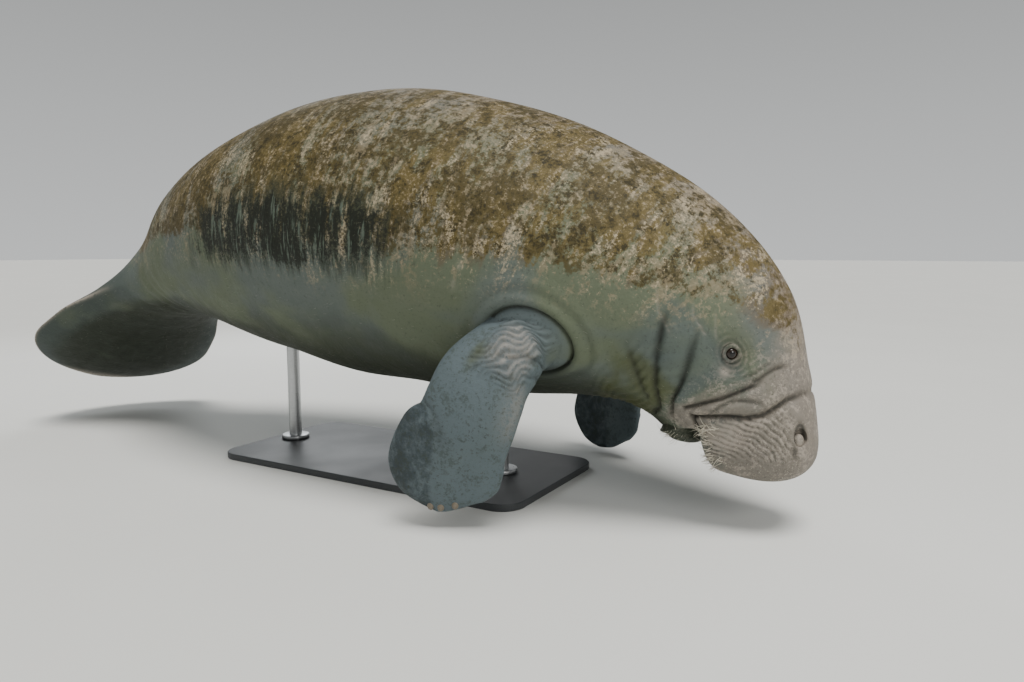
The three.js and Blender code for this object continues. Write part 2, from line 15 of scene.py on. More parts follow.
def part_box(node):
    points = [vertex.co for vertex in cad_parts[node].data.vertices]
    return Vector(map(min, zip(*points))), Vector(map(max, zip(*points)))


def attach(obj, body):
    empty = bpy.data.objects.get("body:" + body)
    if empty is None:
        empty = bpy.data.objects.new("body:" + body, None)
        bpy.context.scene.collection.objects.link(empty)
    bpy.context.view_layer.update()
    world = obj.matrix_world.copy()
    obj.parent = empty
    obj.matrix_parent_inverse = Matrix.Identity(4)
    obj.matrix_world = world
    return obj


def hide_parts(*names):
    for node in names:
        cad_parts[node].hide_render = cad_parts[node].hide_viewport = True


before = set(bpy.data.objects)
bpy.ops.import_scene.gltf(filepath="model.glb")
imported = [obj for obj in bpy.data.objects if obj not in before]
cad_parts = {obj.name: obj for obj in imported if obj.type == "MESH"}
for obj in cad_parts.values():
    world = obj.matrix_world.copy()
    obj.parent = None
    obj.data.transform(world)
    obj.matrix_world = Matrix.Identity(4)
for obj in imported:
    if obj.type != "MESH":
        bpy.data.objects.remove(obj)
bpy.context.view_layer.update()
MM = 0.001
RNG = np.random.default_rng(7)

# The spine
SPINE_LENGTH = 2.790
MID_BODY = 1.190
MID_HEIGHT = 0.650
SPINE_STEP = 0.005

# Sections: s, pitch, roll, lean, wide, up, down (mm and degrees), edge
SECTION_KEYS = ("s", "pitch", "roll", "lean", "wide", "up", "down", "edge")
SECTIONS = (
    (0, -86, 0, 0.25, 116, 162, 122, 0.8),
    (55, -82, 0, 0.22, 124, 180, 126, 0.8),
    (100, -75, 0, 0.12, 126, 186, 128, 0.85),
    (165, -66, 0, 0, 142, 203, 145, 0.95),
    (265, -50, 0, 0, 190, 254, 175, 1),
    (420, -33, 0, 0, 255, 294, 240, 1),
    (620, -20, 0, 0, 325, 326, 318, 1),
    (890, -11, 0, 0, 380, 365, 378, 1),
    (1190, -2, 0, 0, 400, 390, 394, 1),
    (1540, 6, 0, 0, 372, 354, 331, 1),
    (1890, 14, 0, 0, 280, 282, 202, 1),
    (2130, 24, 4, 0, 196, 162, 118, 1),
    (2290, 34, 14, 0, 226, 82, 78, 1.2),
    (2440, 38, 18, 0, 280, 45, 45, 1.3),
    (2590, 36, 18, 0, 305, 30, 30, 1.3),
    (2780, 30, 18, 0, 288, 18, 18, 1.3),
)
SNOUT_ROUNDING = (0.095, 2.6)
TAIL_ROUNDING = (0.270, 2.1)
MUZZLE_END = 0.135

# Folds of the skin: depth and half width in mm, swelling behind and before, share of the depth left at
# the line's end, then the line in s (mm) and b, alike on both sides
LIP_FOLD = (
    *((158, 98), (147, 87), (139, 78), (130, 70), (128, 60)),
    *((130, 54), (134, 46), (139, 37), (139, 17), (136, 0)),
)
FOLDS = {
    "lip pad": (11, 4.5, 0.5, 0.35, 0.22, LIP_FOLD),
    "lip roll": (4, 4, 0.5, 0.2, 0, ((152, 88), (160, 80), (162, 74), (158, 67), (148, 59), (138, 54))),
    "cheek": (8, 4.5, 0.35, 0.45, 0, ((184, 100), (176, 85), (173, 78), (173, 67), (174, 57), (176, 50))),
    "snout": (5, 3.2, 0.7, 0.15, 0, ((182, 58), (179, 53), (183, 48), (185, 41), (183, 34), (175, 26))),
    "snout crease": (2, 2.6, 0.5, 0.3, 0, ((192, 62), (190, 55), (194, 47), (195, 40))),
    "jaw": (10, 6.5, 0.35, 0.3, 0, ((181, 116), (214, 104), (235, 91), (248, 86), (275, 76), (294, 67))),
    "throat": (9, 8, 0.35, 0.3, 0, ((206, 136), (211, 122), (262, 106), (316, 87), (342, 77), (352, 70))),
    "second throat": (4, 9, 0.3, 0.3, 0, ((250, 122), (300, 110), (378, 92))),
    "mouth corner": (8, 5, 0.2, 0.3, 0, ((128, 99), (172, 98))),
}
TAIL_CREASES = {
    "outer": (3, 6, 0.4, 0.3, 0, ((2072, 141), (2164, 138), (2164, 120))),
    "middle": (2.5, 6, 0.4, 0.3, 0, ((2350, 168), (2430, 171), (2520, 174))),
}
SCARS = {
    "flank": (1.6, 2.2, 0.3, 0.3, 0.3, ((756, 101), (741, 88), (738, 76))),
    "back": (1.6, 2.4, 0.3, 0.3, 0.3, ((779, 35), (817, 28))),
    "neck upper": (1.2, 1.8, 0.3, 0.3, 0.3, ((317, 78), (340, 76), (360, 74), (392, 66))),
    "neck lower": (1.2, 1.8, 0.3, 0.3, 0.3, ((277, 67), (298, 66), (317, 65), (330, 61))),
    "eye": (1.0, 1.6, 0.3, 0.3, 0.3, ((263, 64), (275, 62), (287, 59), (300, 56))),
}

# Soft rolls between the folds: s (mm), b, then half length along the body and height in mm
ROLLS = (
    (222, 75, 20, 5),
    (150, 75, 9, 6),
    (166, 88, 9, 5),
    (164, 56, 10, 4),
    (203, 100, 22, 6),
    (268, 104, 26, 6),
)

# Lip pad and lower jaw
LIP_PAD_DOWN = 0.041
LIP_PAD_EDGE = 0.45
MOUTH_BACK = 0.014
JAW_KEYS = ("s", "middle", "high", "wide")
JAW_SECTIONS = ((52, 85, 41, 94), (100, 86, 43, 100), (135, 90, 48, 124), (165, 88, 38, 102))
JAW_ROUNDING = (0.042, 2.2)
JAW_EDGE = 0.85
JAW_REAR = 0.152

# Face
EYE = {"s": 0.232, "b": 61.5, "radius": 0.014, "sunk": 0.010}
LID = {"radius": 0.0158, "thick": 0.0042}
NOSTRIL = {"s": 0.092, "b": 30.5, "size": (0.020, 0.017, 0.016)}
NOSTRIL_VALVE = {"size": (0.0145, 0.0135, 0.010), "shift": 0.0065}
NOSTRIL_DENT = {"s": 0.076, "b": 37.5, "radius": 0.009}
EYE_POUCH = {"s": 0.213, "b": 69, "radius": 0.009}
LIP_CLEFT = {"s": 0.0, "v": -0.008, "size": (0.006, 0.048, 0.030)}

# Flippers
SHOULDER = {"s": 0.563, "b": 116, "along": 0.110, "round": 18}
FLIPPER_KEYS = ("forward", "out", "up", "chord", "thick", "curl")
FLIPPER = (
    (20, -68, 50, 170, 150, 0),
    (-22, -12, 10, 166, 146, 0),
    (-38, 42, -26, 184, 122, 0),
    (-56, 80, -68, 202, 96, 2),
    (-68, 100, -114, 208, 77, 8),
    (-85, 110, -164, 214, 62, 19),
    (-115, 113, -214, 248, 50, 30),
    (-139, 112, -268, 256, 40, 30),
    (-154, 108, -324, 222, 30, 22),
    (-160, 102, -362, 172, 22, 14),
)
FLIPPER_FRONT = ((0.8, -0.41, -0.43), (0.9, -0.43, 0.05))
FLIPPER_ELBOW = 0.625
FLIPPER_LENGTH = 0.55
FLIPPER_DEGREE = 0.0015
FLIPPER_ROUNDING = (0.2, 2)
# Creases in place along the flipper (thousandths) and degrees from its leading edge
FLIPPER_CREASES = {
    "elbow": (4.5, 3.5, 0.4, 0.5, 0, ((120, -8), (161, 14), (194, 45), (211, 61), (244, 80), (252, 92))),
    "leading notch": (3, 3, 0.4, 0.4, 0, ((195, -2), (214, 19), (247, 39))),
    "arm top": (6, 4.5, 0.5, 0.3, 0, ((20, 86), (43, 93), (70, 102), (107, 111), (147, 123), (175, 156))),
    "hand lobe": (
        *(2.2, 7, 0.4, 0.2, 0),
        ((500, 170), (518, 158), (535, 137), (585, 119), (632, 108), (710, 94)),
    ),
}
LEFT_SWING = 11
NAILS = ((0.93, 0.5), (0.955, 0.12), (0.955, -0.26))
NAIL = (0.0095, 0.0075, 0.005)
ROD = {"radius": 0.019, "collar": 0.042, "collar_high": 0.012}
RODS = (("rod_front", 0.33, "stand_rod_front"), ("rod_rear", -0.43, "stand_rod_rear"))

# Camera: matched to the photograph
FOCAL_PIXELS = 768
IMAGE_WIDTH = 1024
SENSOR_WIDTH = 36.0
CAMERA_PLACE = (1.35654, -1.72251, 0.60991)
CAMERA_YAW = 30.0
CAMERA_PITCH = 6.8


# Form of the body


def track(xs, ys):
    """A smooth function through knots, with no overshoot between them."""
    xs, ys = np.asarray(xs, float), np.asarray(ys, float)
    steps, slopes = np.diff(xs), np.diff(ys) / np.diff(xs)
    tangents = np.concatenate([[slopes[0]], np.zeros(len(xs) - 2), [slopes[-1]]])
    for i in range(1, len(xs) - 1):
        if slopes[i - 1] * slopes[i] > 0:
            before, after = steps[i - 1], steps[i]
            weights = (2 * after + before) / slopes[i - 1] + (after + 2 * before) / slopes[i]
            tangents[i] = 3 * (before + after) / weights

    def value(x):
        c = np.clip(x, xs[0], xs[-1])
        i = np.clip(np.searchsorted(xs, c) - 1, 0, len(xs) - 2)
        h = xs[i + 1] - xs[i]
        t = (c - xs[i]) / h
        start = ys[i] * (1 + 2 * t) * (1 - t) ** 2 + tangents[i] * h * t * (1 - t) ** 2
        return start + ys[i + 1] * t * t * (3 - 2 * t) - tangents[i + 1] * h * t * t * (1 - t)

    return value


def tracks_of(rows, keys, angles=()):
    """A track for each key of a table's rows, in metres apart from the angles and plain numbers."""
    table = np.array(rows, float)
    for i, key in enumerate(keys):
        table[:, i] *= 1 if key in angles else MM
    return {key: track(table[:, 0], table[:, i]) for i, key in enumerate(keys) if i}


SECTION = tracks_of(SECTIONS, SECTION_KEYS, ("pitch", "roll", "lean", "edge"))
JAW = tracks_of(JAW_SECTIONS, JAW_KEYS)


def power(value, exponent):
    return np.sign(value) * np.abs(value) ** exponent


def smoothstep(low, high, x):
    t = np.clip((np.asarray(x, float) - low) / (high - low), 0, 1)
    return t * t * (3 - 2 * t)


def bump(x, middle, half_width):
    return np.exp(-(((x - middle) / half_width) ** 2))


def rounding(distance, shape):
    """How full a section is at a distance from a rounded end."""
    length, exponent = shape
    left = np.clip(1 - np.asarray(distance, float) / length, 0, 1)
    return (1 - left**exponent) ** (1 / exponent)


def heading(s):
    """The way ahead along the spine."""
    pitch = np.radians(SECTION["pitch"](s))
    return np.stack([np.cos(pitch), np.zeros_like(pitch), np.sin(pitch)], -1)


SPINE_S = np.arange(0, SPINE_LENGTH + SPINE_STEP, SPINE_STEP)
SPINE_STEPS = -SPINE_STEP * np.cumsum(heading(SPINE_S[:-1] + SPINE_STEP / 2), 0)
SPINE = np.concatenate([np.zeros((1, 3)), SPINE_STEPS])


def spine_at(s):
    return np.stack([np.interp(s, SPINE_S, SPINE[:, k]) for k in range(3)], -1)


SPINE_SHIFT = np.array([0, 0, MID_HEIGHT]) - spine_at(np.array(MID_BODY))


def frames(s):
    """The spine's points with the ways ahead, to the right and up through the back."""
    ahead = heading(s)
    roll = -np.radians(SECTION["roll"](s))[..., None]
    right = np.zeros_like(ahead)
    right[..., 1] = -1
    right = right * np.cos(roll) + np.cross(ahead, right) * np.sin(roll)
    return spine_at(s) + SPINE_SHIFT, ahead, right, np.cross(right, ahead)


def in_section(s, u, v):
    """Points u to the right and v up in the sections at s."""
    origin, ahead, right, up = frames(s)
    lean = ahead * (SECTION["lean"](s) * v)[..., None]
    return origin + right * u[..., None] + up * v[..., None] + lean


def girth_degree(s):
    """Length of one degree of b."""
    return 0.5 * (SECTION["wide"](s) + SECTION["up"](s)) * math.pi / 180


def line_offset(s, side, degree, line):
    """Distance from a line of (s in mm, b), positive behind or below it, and how far along it."""
    nearest, along = np.full(s.shape, np.inf), np.zeros(s.shape)
    sign = np.ones(s.shape)
    for i, ((s0, b0), (s1, b1)) in enumerate(zip(line, line[1:])):
        run = ((s1 - s0) * MM, (b1 - b0) * degree)
        to = (s - s0 * MM, (side - b0) * degree)
        t = np.clip((to[0] * run[0] + to[1] * run[1]) / (run[0] ** 2 + run[1] ** 2 + 1e-12), 0, 1)
        distance = np.hypot(to[0] - t * run[0], to[1] - t * run[1])
        closer = distance < nearest
        nearest = np.where(closer, distance, nearest)
        along = np.where(closer, (i + t) / (len(line) - 1), along)
        sign = np.where(closer, np.where(run[0] * to[1] - run[1] * to[0] < 0, -1.0, 1.0), sign)
    return nearest * sign, along


def creases(s, side, degree, table):
    """Relief of a table of folds and how deep in a crease each place lies, from 0 to 1."""
    relief, inside = np.zeros(s.shape), np.zeros(s.shape)
    for depth, wide, behind, before, last, line in table.values():
        offset, along = line_offset(s, side, degree, line)
        start = smoothstep(-0.02, 0.1, along) if line[0][1] < 90 else 1
        fade = (last + (1 - last) * np.minimum(1, (1 - along) / 0.25)) * start
        x = offset / (wide * MM)
        groove, roll = np.exp(-np.abs(x) ** 1.5), np.abs(x) / 2.6
        swelling = roll * np.exp(1 - roll) * np.where(x > 0, behind, before)
        relief += depth * MM * fade * (swelling * smoothstep(0, 1.2, np.abs(x)) - groove)
        deep = min(1, 0.35 + depth / 12)
        inside = np.maximum(inside, fade * np.exp(-np.abs(x * 1.5) ** 1.7) * deep)
    return relief, inside


def crisp(phase):
    """Rounded ridges with narrow creases between them."""
    return np.abs(np.sin(math.pi * phase)) ** 0.6 - 0.62


def fine_wrinkles(s, b):
    """Ridges that run down the lip pad, bristle bumps, and creases before and round the eye."""
    side, degree = np.abs(b), girth_degree(s)
    drift = 0.004 * np.sin(side * 0.11 + s * 45) + 0.002 * np.sin(s * 160 + side * 0.3)
    along, across = 0.53 * s + 0.85 * side * degree, 0.85 * s - 0.53 * side * degree
    lip = smoothstep(0.046, 0.078, s + 0.0003 * (side - 60)) * smoothstep(0.137, 0.125, s)
    lip = lip * smoothstep(34, 48, side) * smoothstep(99, 90, side)
    relief = 0.0038 * lip * crisp((across + 0.7 * drift) / 0.0092)
    relief += 0.0004 * lip * np.sin(2 * math.pi * (along + drift) / 0.013)
    bristly = smoothstep(0.012, 0.03, s) * smoothstep(0.102, 0.08, s) * smoothstep(26, 42, side)
    bristly = bristly * smoothstep(104, 92, side)
    cells = np.cos(2 * math.pi * (along + 0.4 * drift) / 0.0078) * np.cos(2 * math.pi * across / 0.0072)
    relief += 0.0010 * bristly * cells
    before_eye = bump(s, 0.201, 0.020) * smoothstep(24, 36, side) * smoothstep(82, 66, side)
    relief += 0.0014 * before_eye * crisp((s + 0.0005 * side + 0.8 * drift) / 0.0085)
    roll = smoothstep(0.137, 0.148, s) * smoothstep(0.176, 0.166, s) * smoothstep(28, 44, side)
    phase = (0.97 * s + 0.00035 * side + 0.5 * drift) / 0.0074
    relief += 0.0013 * roll * smoothstep(98, 86, side) * crisp(phase)
    from_eye = np.hypot(s - EYE["s"], (side - EYE["b"]) * degree)
    rings = np.cos(2 * math.pi * from_eye / 0.0088) * np.exp(-((from_eye / 0.034) ** 2))
    return relief + 0.0014 * rings


def distance_to(spot, s, b):
    """Distance over the skin to a spot's s and b, on the nearer side."""
    return np.hypot(s - spot["s"], (np.abs(b) - spot["b"]) * girth_degree(s))


def wrinkle_relief(s, b):
    """The fine wrinkles with the hollow of the eye, the soft rolls, and the nostril's rim and dent."""
    side = np.abs(b)
    relief = fine_wrinkles(s, b)
    relief -= 0.007 * np.exp(-((distance_to(EYE, s, b) / 0.036) ** 2))
    for s_mm, turn, long, high in ROLLS:
        relief += high * MM * bump(s, s_mm * MM, long * MM) * bump(side, turn, 11)
    relief += 0.003 * bump(distance_to(NOSTRIL, s, b), 0.024, 0.007)
    relief -= 0.006 * bump(distance_to(NOSTRIL_DENT, s, b), 0, NOSTRIL_DENT["radius"])
    drift = 0.008 * np.sin(side * 0.11 + s * 45)
    cheek = smoothstep(0.20, 0.26, s) * smoothstep(0.44, 0.34, s) * smoothstep(72, 95, side)
    return relief + 0.0020 * cheek * np.sin(2 * math.pi * (s - 0.0011 * side + drift) / 0.026)


def shoulder_reach(s, b):
    """How far from the middle of a flipper's root, where 1 is the root's edge."""
    across = (np.abs(b) - SHOULDER["b"]) / SHOULDER["round"]
    return np.hypot((s - SHOULDER["s"]) / SHOULDER["along"], across)


def shoulder_relief(s, b):
    """The mound of each flipper's root with the crisp crease and the rim of skin round it."""
    reach = shoulder_reach(s, b)
    rim = 0.009 * bump(reach, 1.13, 0.14) + 0.0035 * bump(reach, 1.5, 0.12)
    rim -= 0.002 * bump(reach, 1.33, 0.05)
    mound = 0.010 * smoothstep(0.97, 0.72, reach)
    return rim + mound - 0.012 * bump(reach, 0.965, 0.032)


def slow_relief(s, b):
    """Slow unevenness of a fat body: broad rolls low on the flank and over the tail's root."""
    side = np.radians(b)
    trunk = smoothstep(0.45, 0.7, s) * smoothstep(2.3, 2.0, s)
    relief = 0.003 * trunk * np.sin(s * 11 + 2 * np.sin(side * 2)) * np.sin(side * 2 + s * 3)
    root = bump(s, 2.03, 0.16) * smoothstep(70, 110, np.abs(b))
    return relief + 0.003 * root * np.sin(s * 95)


def body_creases(s, b):
    """Relief of all the body's creases, how deep in a fold each place lies, and how deep in a scar."""
    side, degree = np.abs(b), girth_degree(s)
    relief, inside = creases(s, side, degree, FOLDS)
    tail_relief, tail_inside = creases(s, side, degree, TAIL_CREASES)
    scar_relief, scar = creases(s, side, degree, SCARS)
    own = smoothstep(0, 6, b) * smoothstep(180, 175, b)
    inside = np.maximum(inside, 0.7 * tail_inside * own)
    return relief + (tail_relief + scar_relief) * own, inside, scar * own


def skin_place(s, b):
    """Points of the skin at s and b."""
    s, b = np.broadcast_arrays(np.asarray(s, float), np.asarray(b, float))
    full, tail = rounding(s, SNOUT_ROUNDING), rounding(SPINE_LENGTH - s, TAIL_ROUNDING)
    edge, sine, cosine = SECTION["edge"](s), np.sin(np.radians(b)), np.cos(np.radians(b))
    wide = SECTION["wide"](s) * full * tail
    high = np.where(cosine > 0, SECTION["up"](s), SECTION["down"](s)) * full * np.sqrt(tail)
    u, v = wide * power(sine, np.minimum(edge, 1)), high * power(cosine, edge)
    pad_u = SECTION["wide"](s) * full * power(sine, LIP_PAD_EDGE)
    pad_v = LIP_PAD_DOWN * full * power(cosine, LIP_PAD_EDGE)
    pad = (cosine < 0) * smoothstep(MUZZLE_END, MUZZLE_END - MOUTH_BACK, s)
    u, v = u + (pad_u - u) * pad, v + (pad_v - v) * pad
    outward = np.stack([u / (wide**2 + 1e-6), v / (high**2 + 1e-6)], -1)
    outward /= np.linalg.norm(outward, axis=-1, keepdims=True) + 1e-9
    relief = body_creases(s, b)[0] + wrinkle_relief(s, b) + shoulder_relief(s, b) + slow_relief(s, b)
    off = relief * full * smoothstep(0, 0.04, SPINE_LENGTH - s)
    return in_section(s, u + off * outward[..., 0], v + off * outward[..., 1])


def unit(way):
    return way / (np.linalg.norm(way, axis=-1, keepdims=True) + 1e-12)


def ways_on(surface, p, q, steps, centre):
    """Points of a surface with three ways: along its first place, along its second and out."""
    p, q = np.broadcast_arrays(np.asarray(p, float), np.asarray(q, float))
    point = surface(p, q)
    first = surface(p + steps[0], q) - surface(p - steps[0], q)
    second = surface(p, q + steps[1]) - surface(p, q - steps[1])
    out = unit(np.cross(second, first))
    out = out * np.where(np.sum(out * (point - centre(p)), -1, keepdims=True) < 0, -1, 1)
    first = unit(first - out * np.sum(first * out, -1, keepdims=True))
    return point, first, np.cross(out, first), out


def skin_ways(s, b):
    return ways_on(skin_place, s, b, (0.004, 1.5), lambda s: frames(s)[0])


def jaw_middle(s):
    return in_section(s, np.zeros_like(s), -JAW["middle"](s))


def jaw_place(s, angle):
    """Points of the lower jaw at s and an angle round its own middle."""
    tip = JAW_SECTIONS[0][0] * MM
    full = rounding(s - tip, JAW_ROUNDING) * np.where(s > MUZZLE_END, 0.95, 1)
    u = JAW["wide"](s) * full * power(np.sin(np.radians(angle)), JAW_EDGE)
    v = JAW["high"](s) * full * power(np.cos(np.radians(angle)), JAW_EDGE)
    return in_section(s, u, v - JAW["middle"](s))


# Form of the flippers


def catmull_rom(points):
    """A centripetal curve through points, as a function of 0 to 1."""
    ends = [2 * points[0] - points[1]], [2 * points[-1] - points[-2]]
    knots = np.concatenate([ends[0], points, ends[1]])
    gaps = np.sqrt(np.linalg.norm(np.diff(knots, axis=0), axis=1))
    count = len(points) - 1

    def place(t):
        scaled = np.clip(np.asarray(t, float), 0, 1) * count
        i = np.minimum(scaled.astype(int), count - 1)
        f = (scaled - i)[..., None]
        p0, p1, p2, p3 = knots[i], knots[i + 1], knots[i + 2], knots[i + 3]
        g0, g1, g2 = (gaps[i + k][..., None] for k in range(3))
        m1 = ((p1 - p0) / g0 - (p2 - p0) / (g0 + g1) + (p2 - p1) / g1) * g1
        m2 = ((p2 - p1) / g1 - (p3 - p1) / (g1 + g2) + (p3 - p2) / g2) * g1
        bend = (2 * p1 - 2 * p2 + m1 + m2) * f**3 + (-3 * p1 + 3 * p2 - 2 * m1 - m2) * f**2
        return bend + m1 * f + p1

    return place


def flipper_relief(t, degrees):
    """Creases and fine cross ridges of a flipper, and how deep in a crease each place lies."""
    turn = np.where(degrees > 270, degrees - 360, degrees)
    relief, inside = creases(t * FLIPPER_LENGTH, turn, FLIPPER_DEGREE, FLIPPER_LINES)
    elbow = smoothstep(0.02, 0.08, t) * smoothstep(0.36, 0.28, t)
    elbow = elbow * smoothstep(20, 45, turn) * smoothstep(128, 105, turn)
    sway = 0.5 * np.sin(t * 60 + turn * 0.05) + 0.4 * np.sin(t * 23 + turn * 0.13)
    fine = 0.0021 * elbow * np.sin(2 * math.pi * ((turn - 300 * t) / 12.5 + sway))
    front = smoothstep(0.28, 0.36, t) * smoothstep(0.62, 0.5, t) * bump(turn, 28, 22)
    fine += 0.0013 * front * crisp(t * FLIPPER_LENGTH / 0.0085 + 0.03 * turn + 0.5 * sway)
    bones = bump(t, 0.68, 0.22) * smoothstep(15, 50, turn) * smoothstep(165, 130, turn)
    relief += 0.0022 * bones * np.cos(math.pi * np.cos(np.radians(turn)) * 3.1)
    return relief + fine, inside, fine


FLIPPER_LINES = {
    name: (*row[:5], tuple((along * FLIPPER_LENGTH, turn) for along, turn in row[5]))
    for name, row in FLIPPER_CREASES.items()
}


def flipper_form(side):
    """Functions for a flipper's middle line and its surface, right (1) or left (-1)."""
    swing = -math.radians(LEFT_SWING) if side < 0 else 0.0
    turned = Matrix.Rotation(swing, 3, "Y")

    def turn(forward, out, up):
        return np.array(turned @ Vector((forward, -side * out, up)))

    shoulder = skin_place(SHOULDER["s"], side * SHOULDER["b"])
    line = catmull_rom(np.array([turn(*row[:3]) * MM + shoulder for row in FLIPPER]))
    places = np.linspace(0, 1, len(FLIPPER))
    columns = list(zip(FLIPPER_KEYS, zip(*FLIPPER)))[3:]
    sizes = {key: track(places, [value * MM for value in column]) for key, column in columns}
    root_front, tip_front = turn(*FLIPPER_FRONT[0]), turn(*FLIPPER_FRONT[1])

    def surface(t, angle):
        t, angle = np.broadcast_arrays(np.asarray(t, float), np.asarray(angle, float))
        along = unit(line(t + 0.002) - line(t - 0.002))
        blend = np.minimum(1, t / FLIPPER_ELBOW)[..., None]
        fore = root_front * (1 - blend) + tip_front * blend
        fore = unit(fore - along * np.sum(fore * along, -1, keepdims=True))
        outer = side * np.cross(along, fore)
        full, cosine, sine = rounding(1 - t, FLIPPER_ROUNDING), np.cos(angle), np.sin(angle)
        relief = flipper_relief(t, np.degrees(angle) % 360)[0] * full
        chord = (sizes["chord"](t) / 2) * full + relief * np.abs(cosine)
        thick = (sizes["thick"](t) / 2) * np.sqrt(full) * (1 + 0.2 * cosine) + relief * np.abs(sine)
        curl = sizes["curl"](t) * np.maximum(0, 0.1 - cosine) ** 2
        rise = thick * sine - curl
        return line(t) + fore * (chord * cosine)[..., None] + outer * rise[..., None]

    return line, surface


# Markings, painted shade and painted highlights: values laid on the skin and on each hair's root. "lie"
# is a place along and round the body without a seam, and the others hold three shares each, from 0 to 1.

SHARES = {
    "zones": ("algae", "green", "back"),
    "parts": ("belly", "face", "tail"),
    "marks_and_painted_light": ("crease", "pale", "limb"),
    "tints_and_painted_light": ("cheek", "glow", "hand"),
}
VALUE_NAMES = ("lie", *SHARES)
VALUE_COUNT = 3 * len(VALUE_NAMES)
LIE_RADIUS = 0.30
FLIPPER_LIE = 0.1
ALGAE_EDGE = track(
    (0, 110, 200, 292, 375, 520, 688, 900, 1200, 1500, 1800, 2050, 2200, 2790),
    (0, 12, 44, 66, 80, 89, 97, 104, 106, 99, 92, 84, 60, 20),
)


def body_values(s, b):
    """The markings' values on the body: growth on the back, pale face, painted shade in the creases and
    down to the belly, painted highlights on the wrinkles' ridges and so on.
    """
    s, b = np.broadcast_arrays(s, b)
    side, turn = np.abs(b), np.radians(b)
    edge = ALGAE_EDGE(s * 1000)
    near_head = smoothstep(0.42, 0.2, s)
    algae = smoothstep(edge + 9 + 6 * near_head, edge - 16 - 14 * near_head, side)
    algae = algae * (1 - 0.10 * near_head)
    algae = algae * smoothstep(0.08, 0.2, s) * smoothstep(2.35, 2.05, s)
    green = smoothstep(0.68, 1.0, s) * smoothstep(2.0, 1.45, s) * smoothstep(46, 84, side)
    green = green * smoothstep(118, 96, side + 0.02 * (s - 1.2))
    # Lighter on the back than down the sides: partly the hide's own tone, partly painted light from
    # above.
    back = smoothstep(62, 8, side)
    # Darker down towards the belly: partly the hide's own tone, partly painted shade under the body.
    belly = smoothstep(100, 150, side)
    face = smoothstep(0.25, 0.17, s) * smoothstep(150, 104, side)
    tail = smoothstep(2.02, 2.34, s)
    # Painted shade: darkest in the folds and tail creases, the crease round each flipper's root, round
    # the eye, the fine wrinkles' hollows, the nostril's opening and the dent beside it.
    _, crease, scar = body_creases(s, b)
    reach = shoulder_reach(s, b)
    crease = np.maximum(crease, bump(reach, 0.965, 0.03))
    crease = np.maximum(crease, 0.8 * bump(distance_to(EYE, s, b), 0, 0.024))
    fine = fine_wrinkles(s, b)
    crease = np.maximum(crease, 0.7 * smoothstep(0.0004, 0.0017, -fine))
    from_nostril = distance_to({"s": NOSTRIL["s"] - 0.002, "b": NOSTRIL["b"]}, s, b)
    crease = np.maximum(crease, 0.95 * bump(from_nostril, 0.0165, 0.0035) * (s > NOSTRIL["s"] - 0.004))
    dent = distance_to(NOSTRIL_DENT, s, b)
    crease = np.maximum(crease, 0.75 * bump(dent, 0, NOSTRIL_DENT["radius"]))
    # Pale scars and a pale patch under each eye, painted highlights on the fine wrinkles' ridges, paler
    # lumps on the lip pad and a paler edge round the tail paddle.
    pale = np.maximum(scar, 0.8 * bump(distance_to(EYE_POUCH, s, b), 0, EYE_POUCH["radius"]))
    ridges = smoothstep(0.0004, 0.0012, fine) * smoothstep(60, 80, side + 400 * (s - 0.1))
    pale = np.maximum(pale, 0.6 * ridges)
    lumps = smoothstep(0.072, 0.09, s) * smoothstep(0.132, 0.118, s) * smoothstep(70, 80, side)
    pale = np.maximum(pale, 0.55 * lumps * smoothstep(97, 89, side))
    rim = bump(side, 91, 7) * smoothstep(2.2, 2.35, s) + smoothstep(2.735, 2.785, s)
    pale = np.maximum(pale, 0.85 * rim)
    limb = 0.7 * smoothstep(1.0, 0.9, reach)
    cheek = smoothstep(0.15, 0.22, s) * smoothstep(0.48, 0.33, s) * smoothstep(48, 68, side)
    lip_band = bump(s, 0.128 + 0.0003 * (side - 60), 0.008)
    lip_band = lip_band * smoothstep(50, 70, side) * smoothstep(110, 98, side)
    cheek = np.maximum(cheek * smoothstep(118, 96, side), lip_band)
    # Painted olive glow of light low on the cheek and throat, between the folds.
    glow = smoothstep(0.17, 0.23, s) * smoothstep(0.44, 0.34, s) * smoothstep(84, 100, side)
    return np.stack(
        [s, LIE_RADIUS * np.sin(turn), LIE_RADIUS * np.cos(turn), algae, green, back, belly, face, tail]
        + [crease, pale, limb, cheek, glow, np.zeros(s.shape)],
        -1,
    )


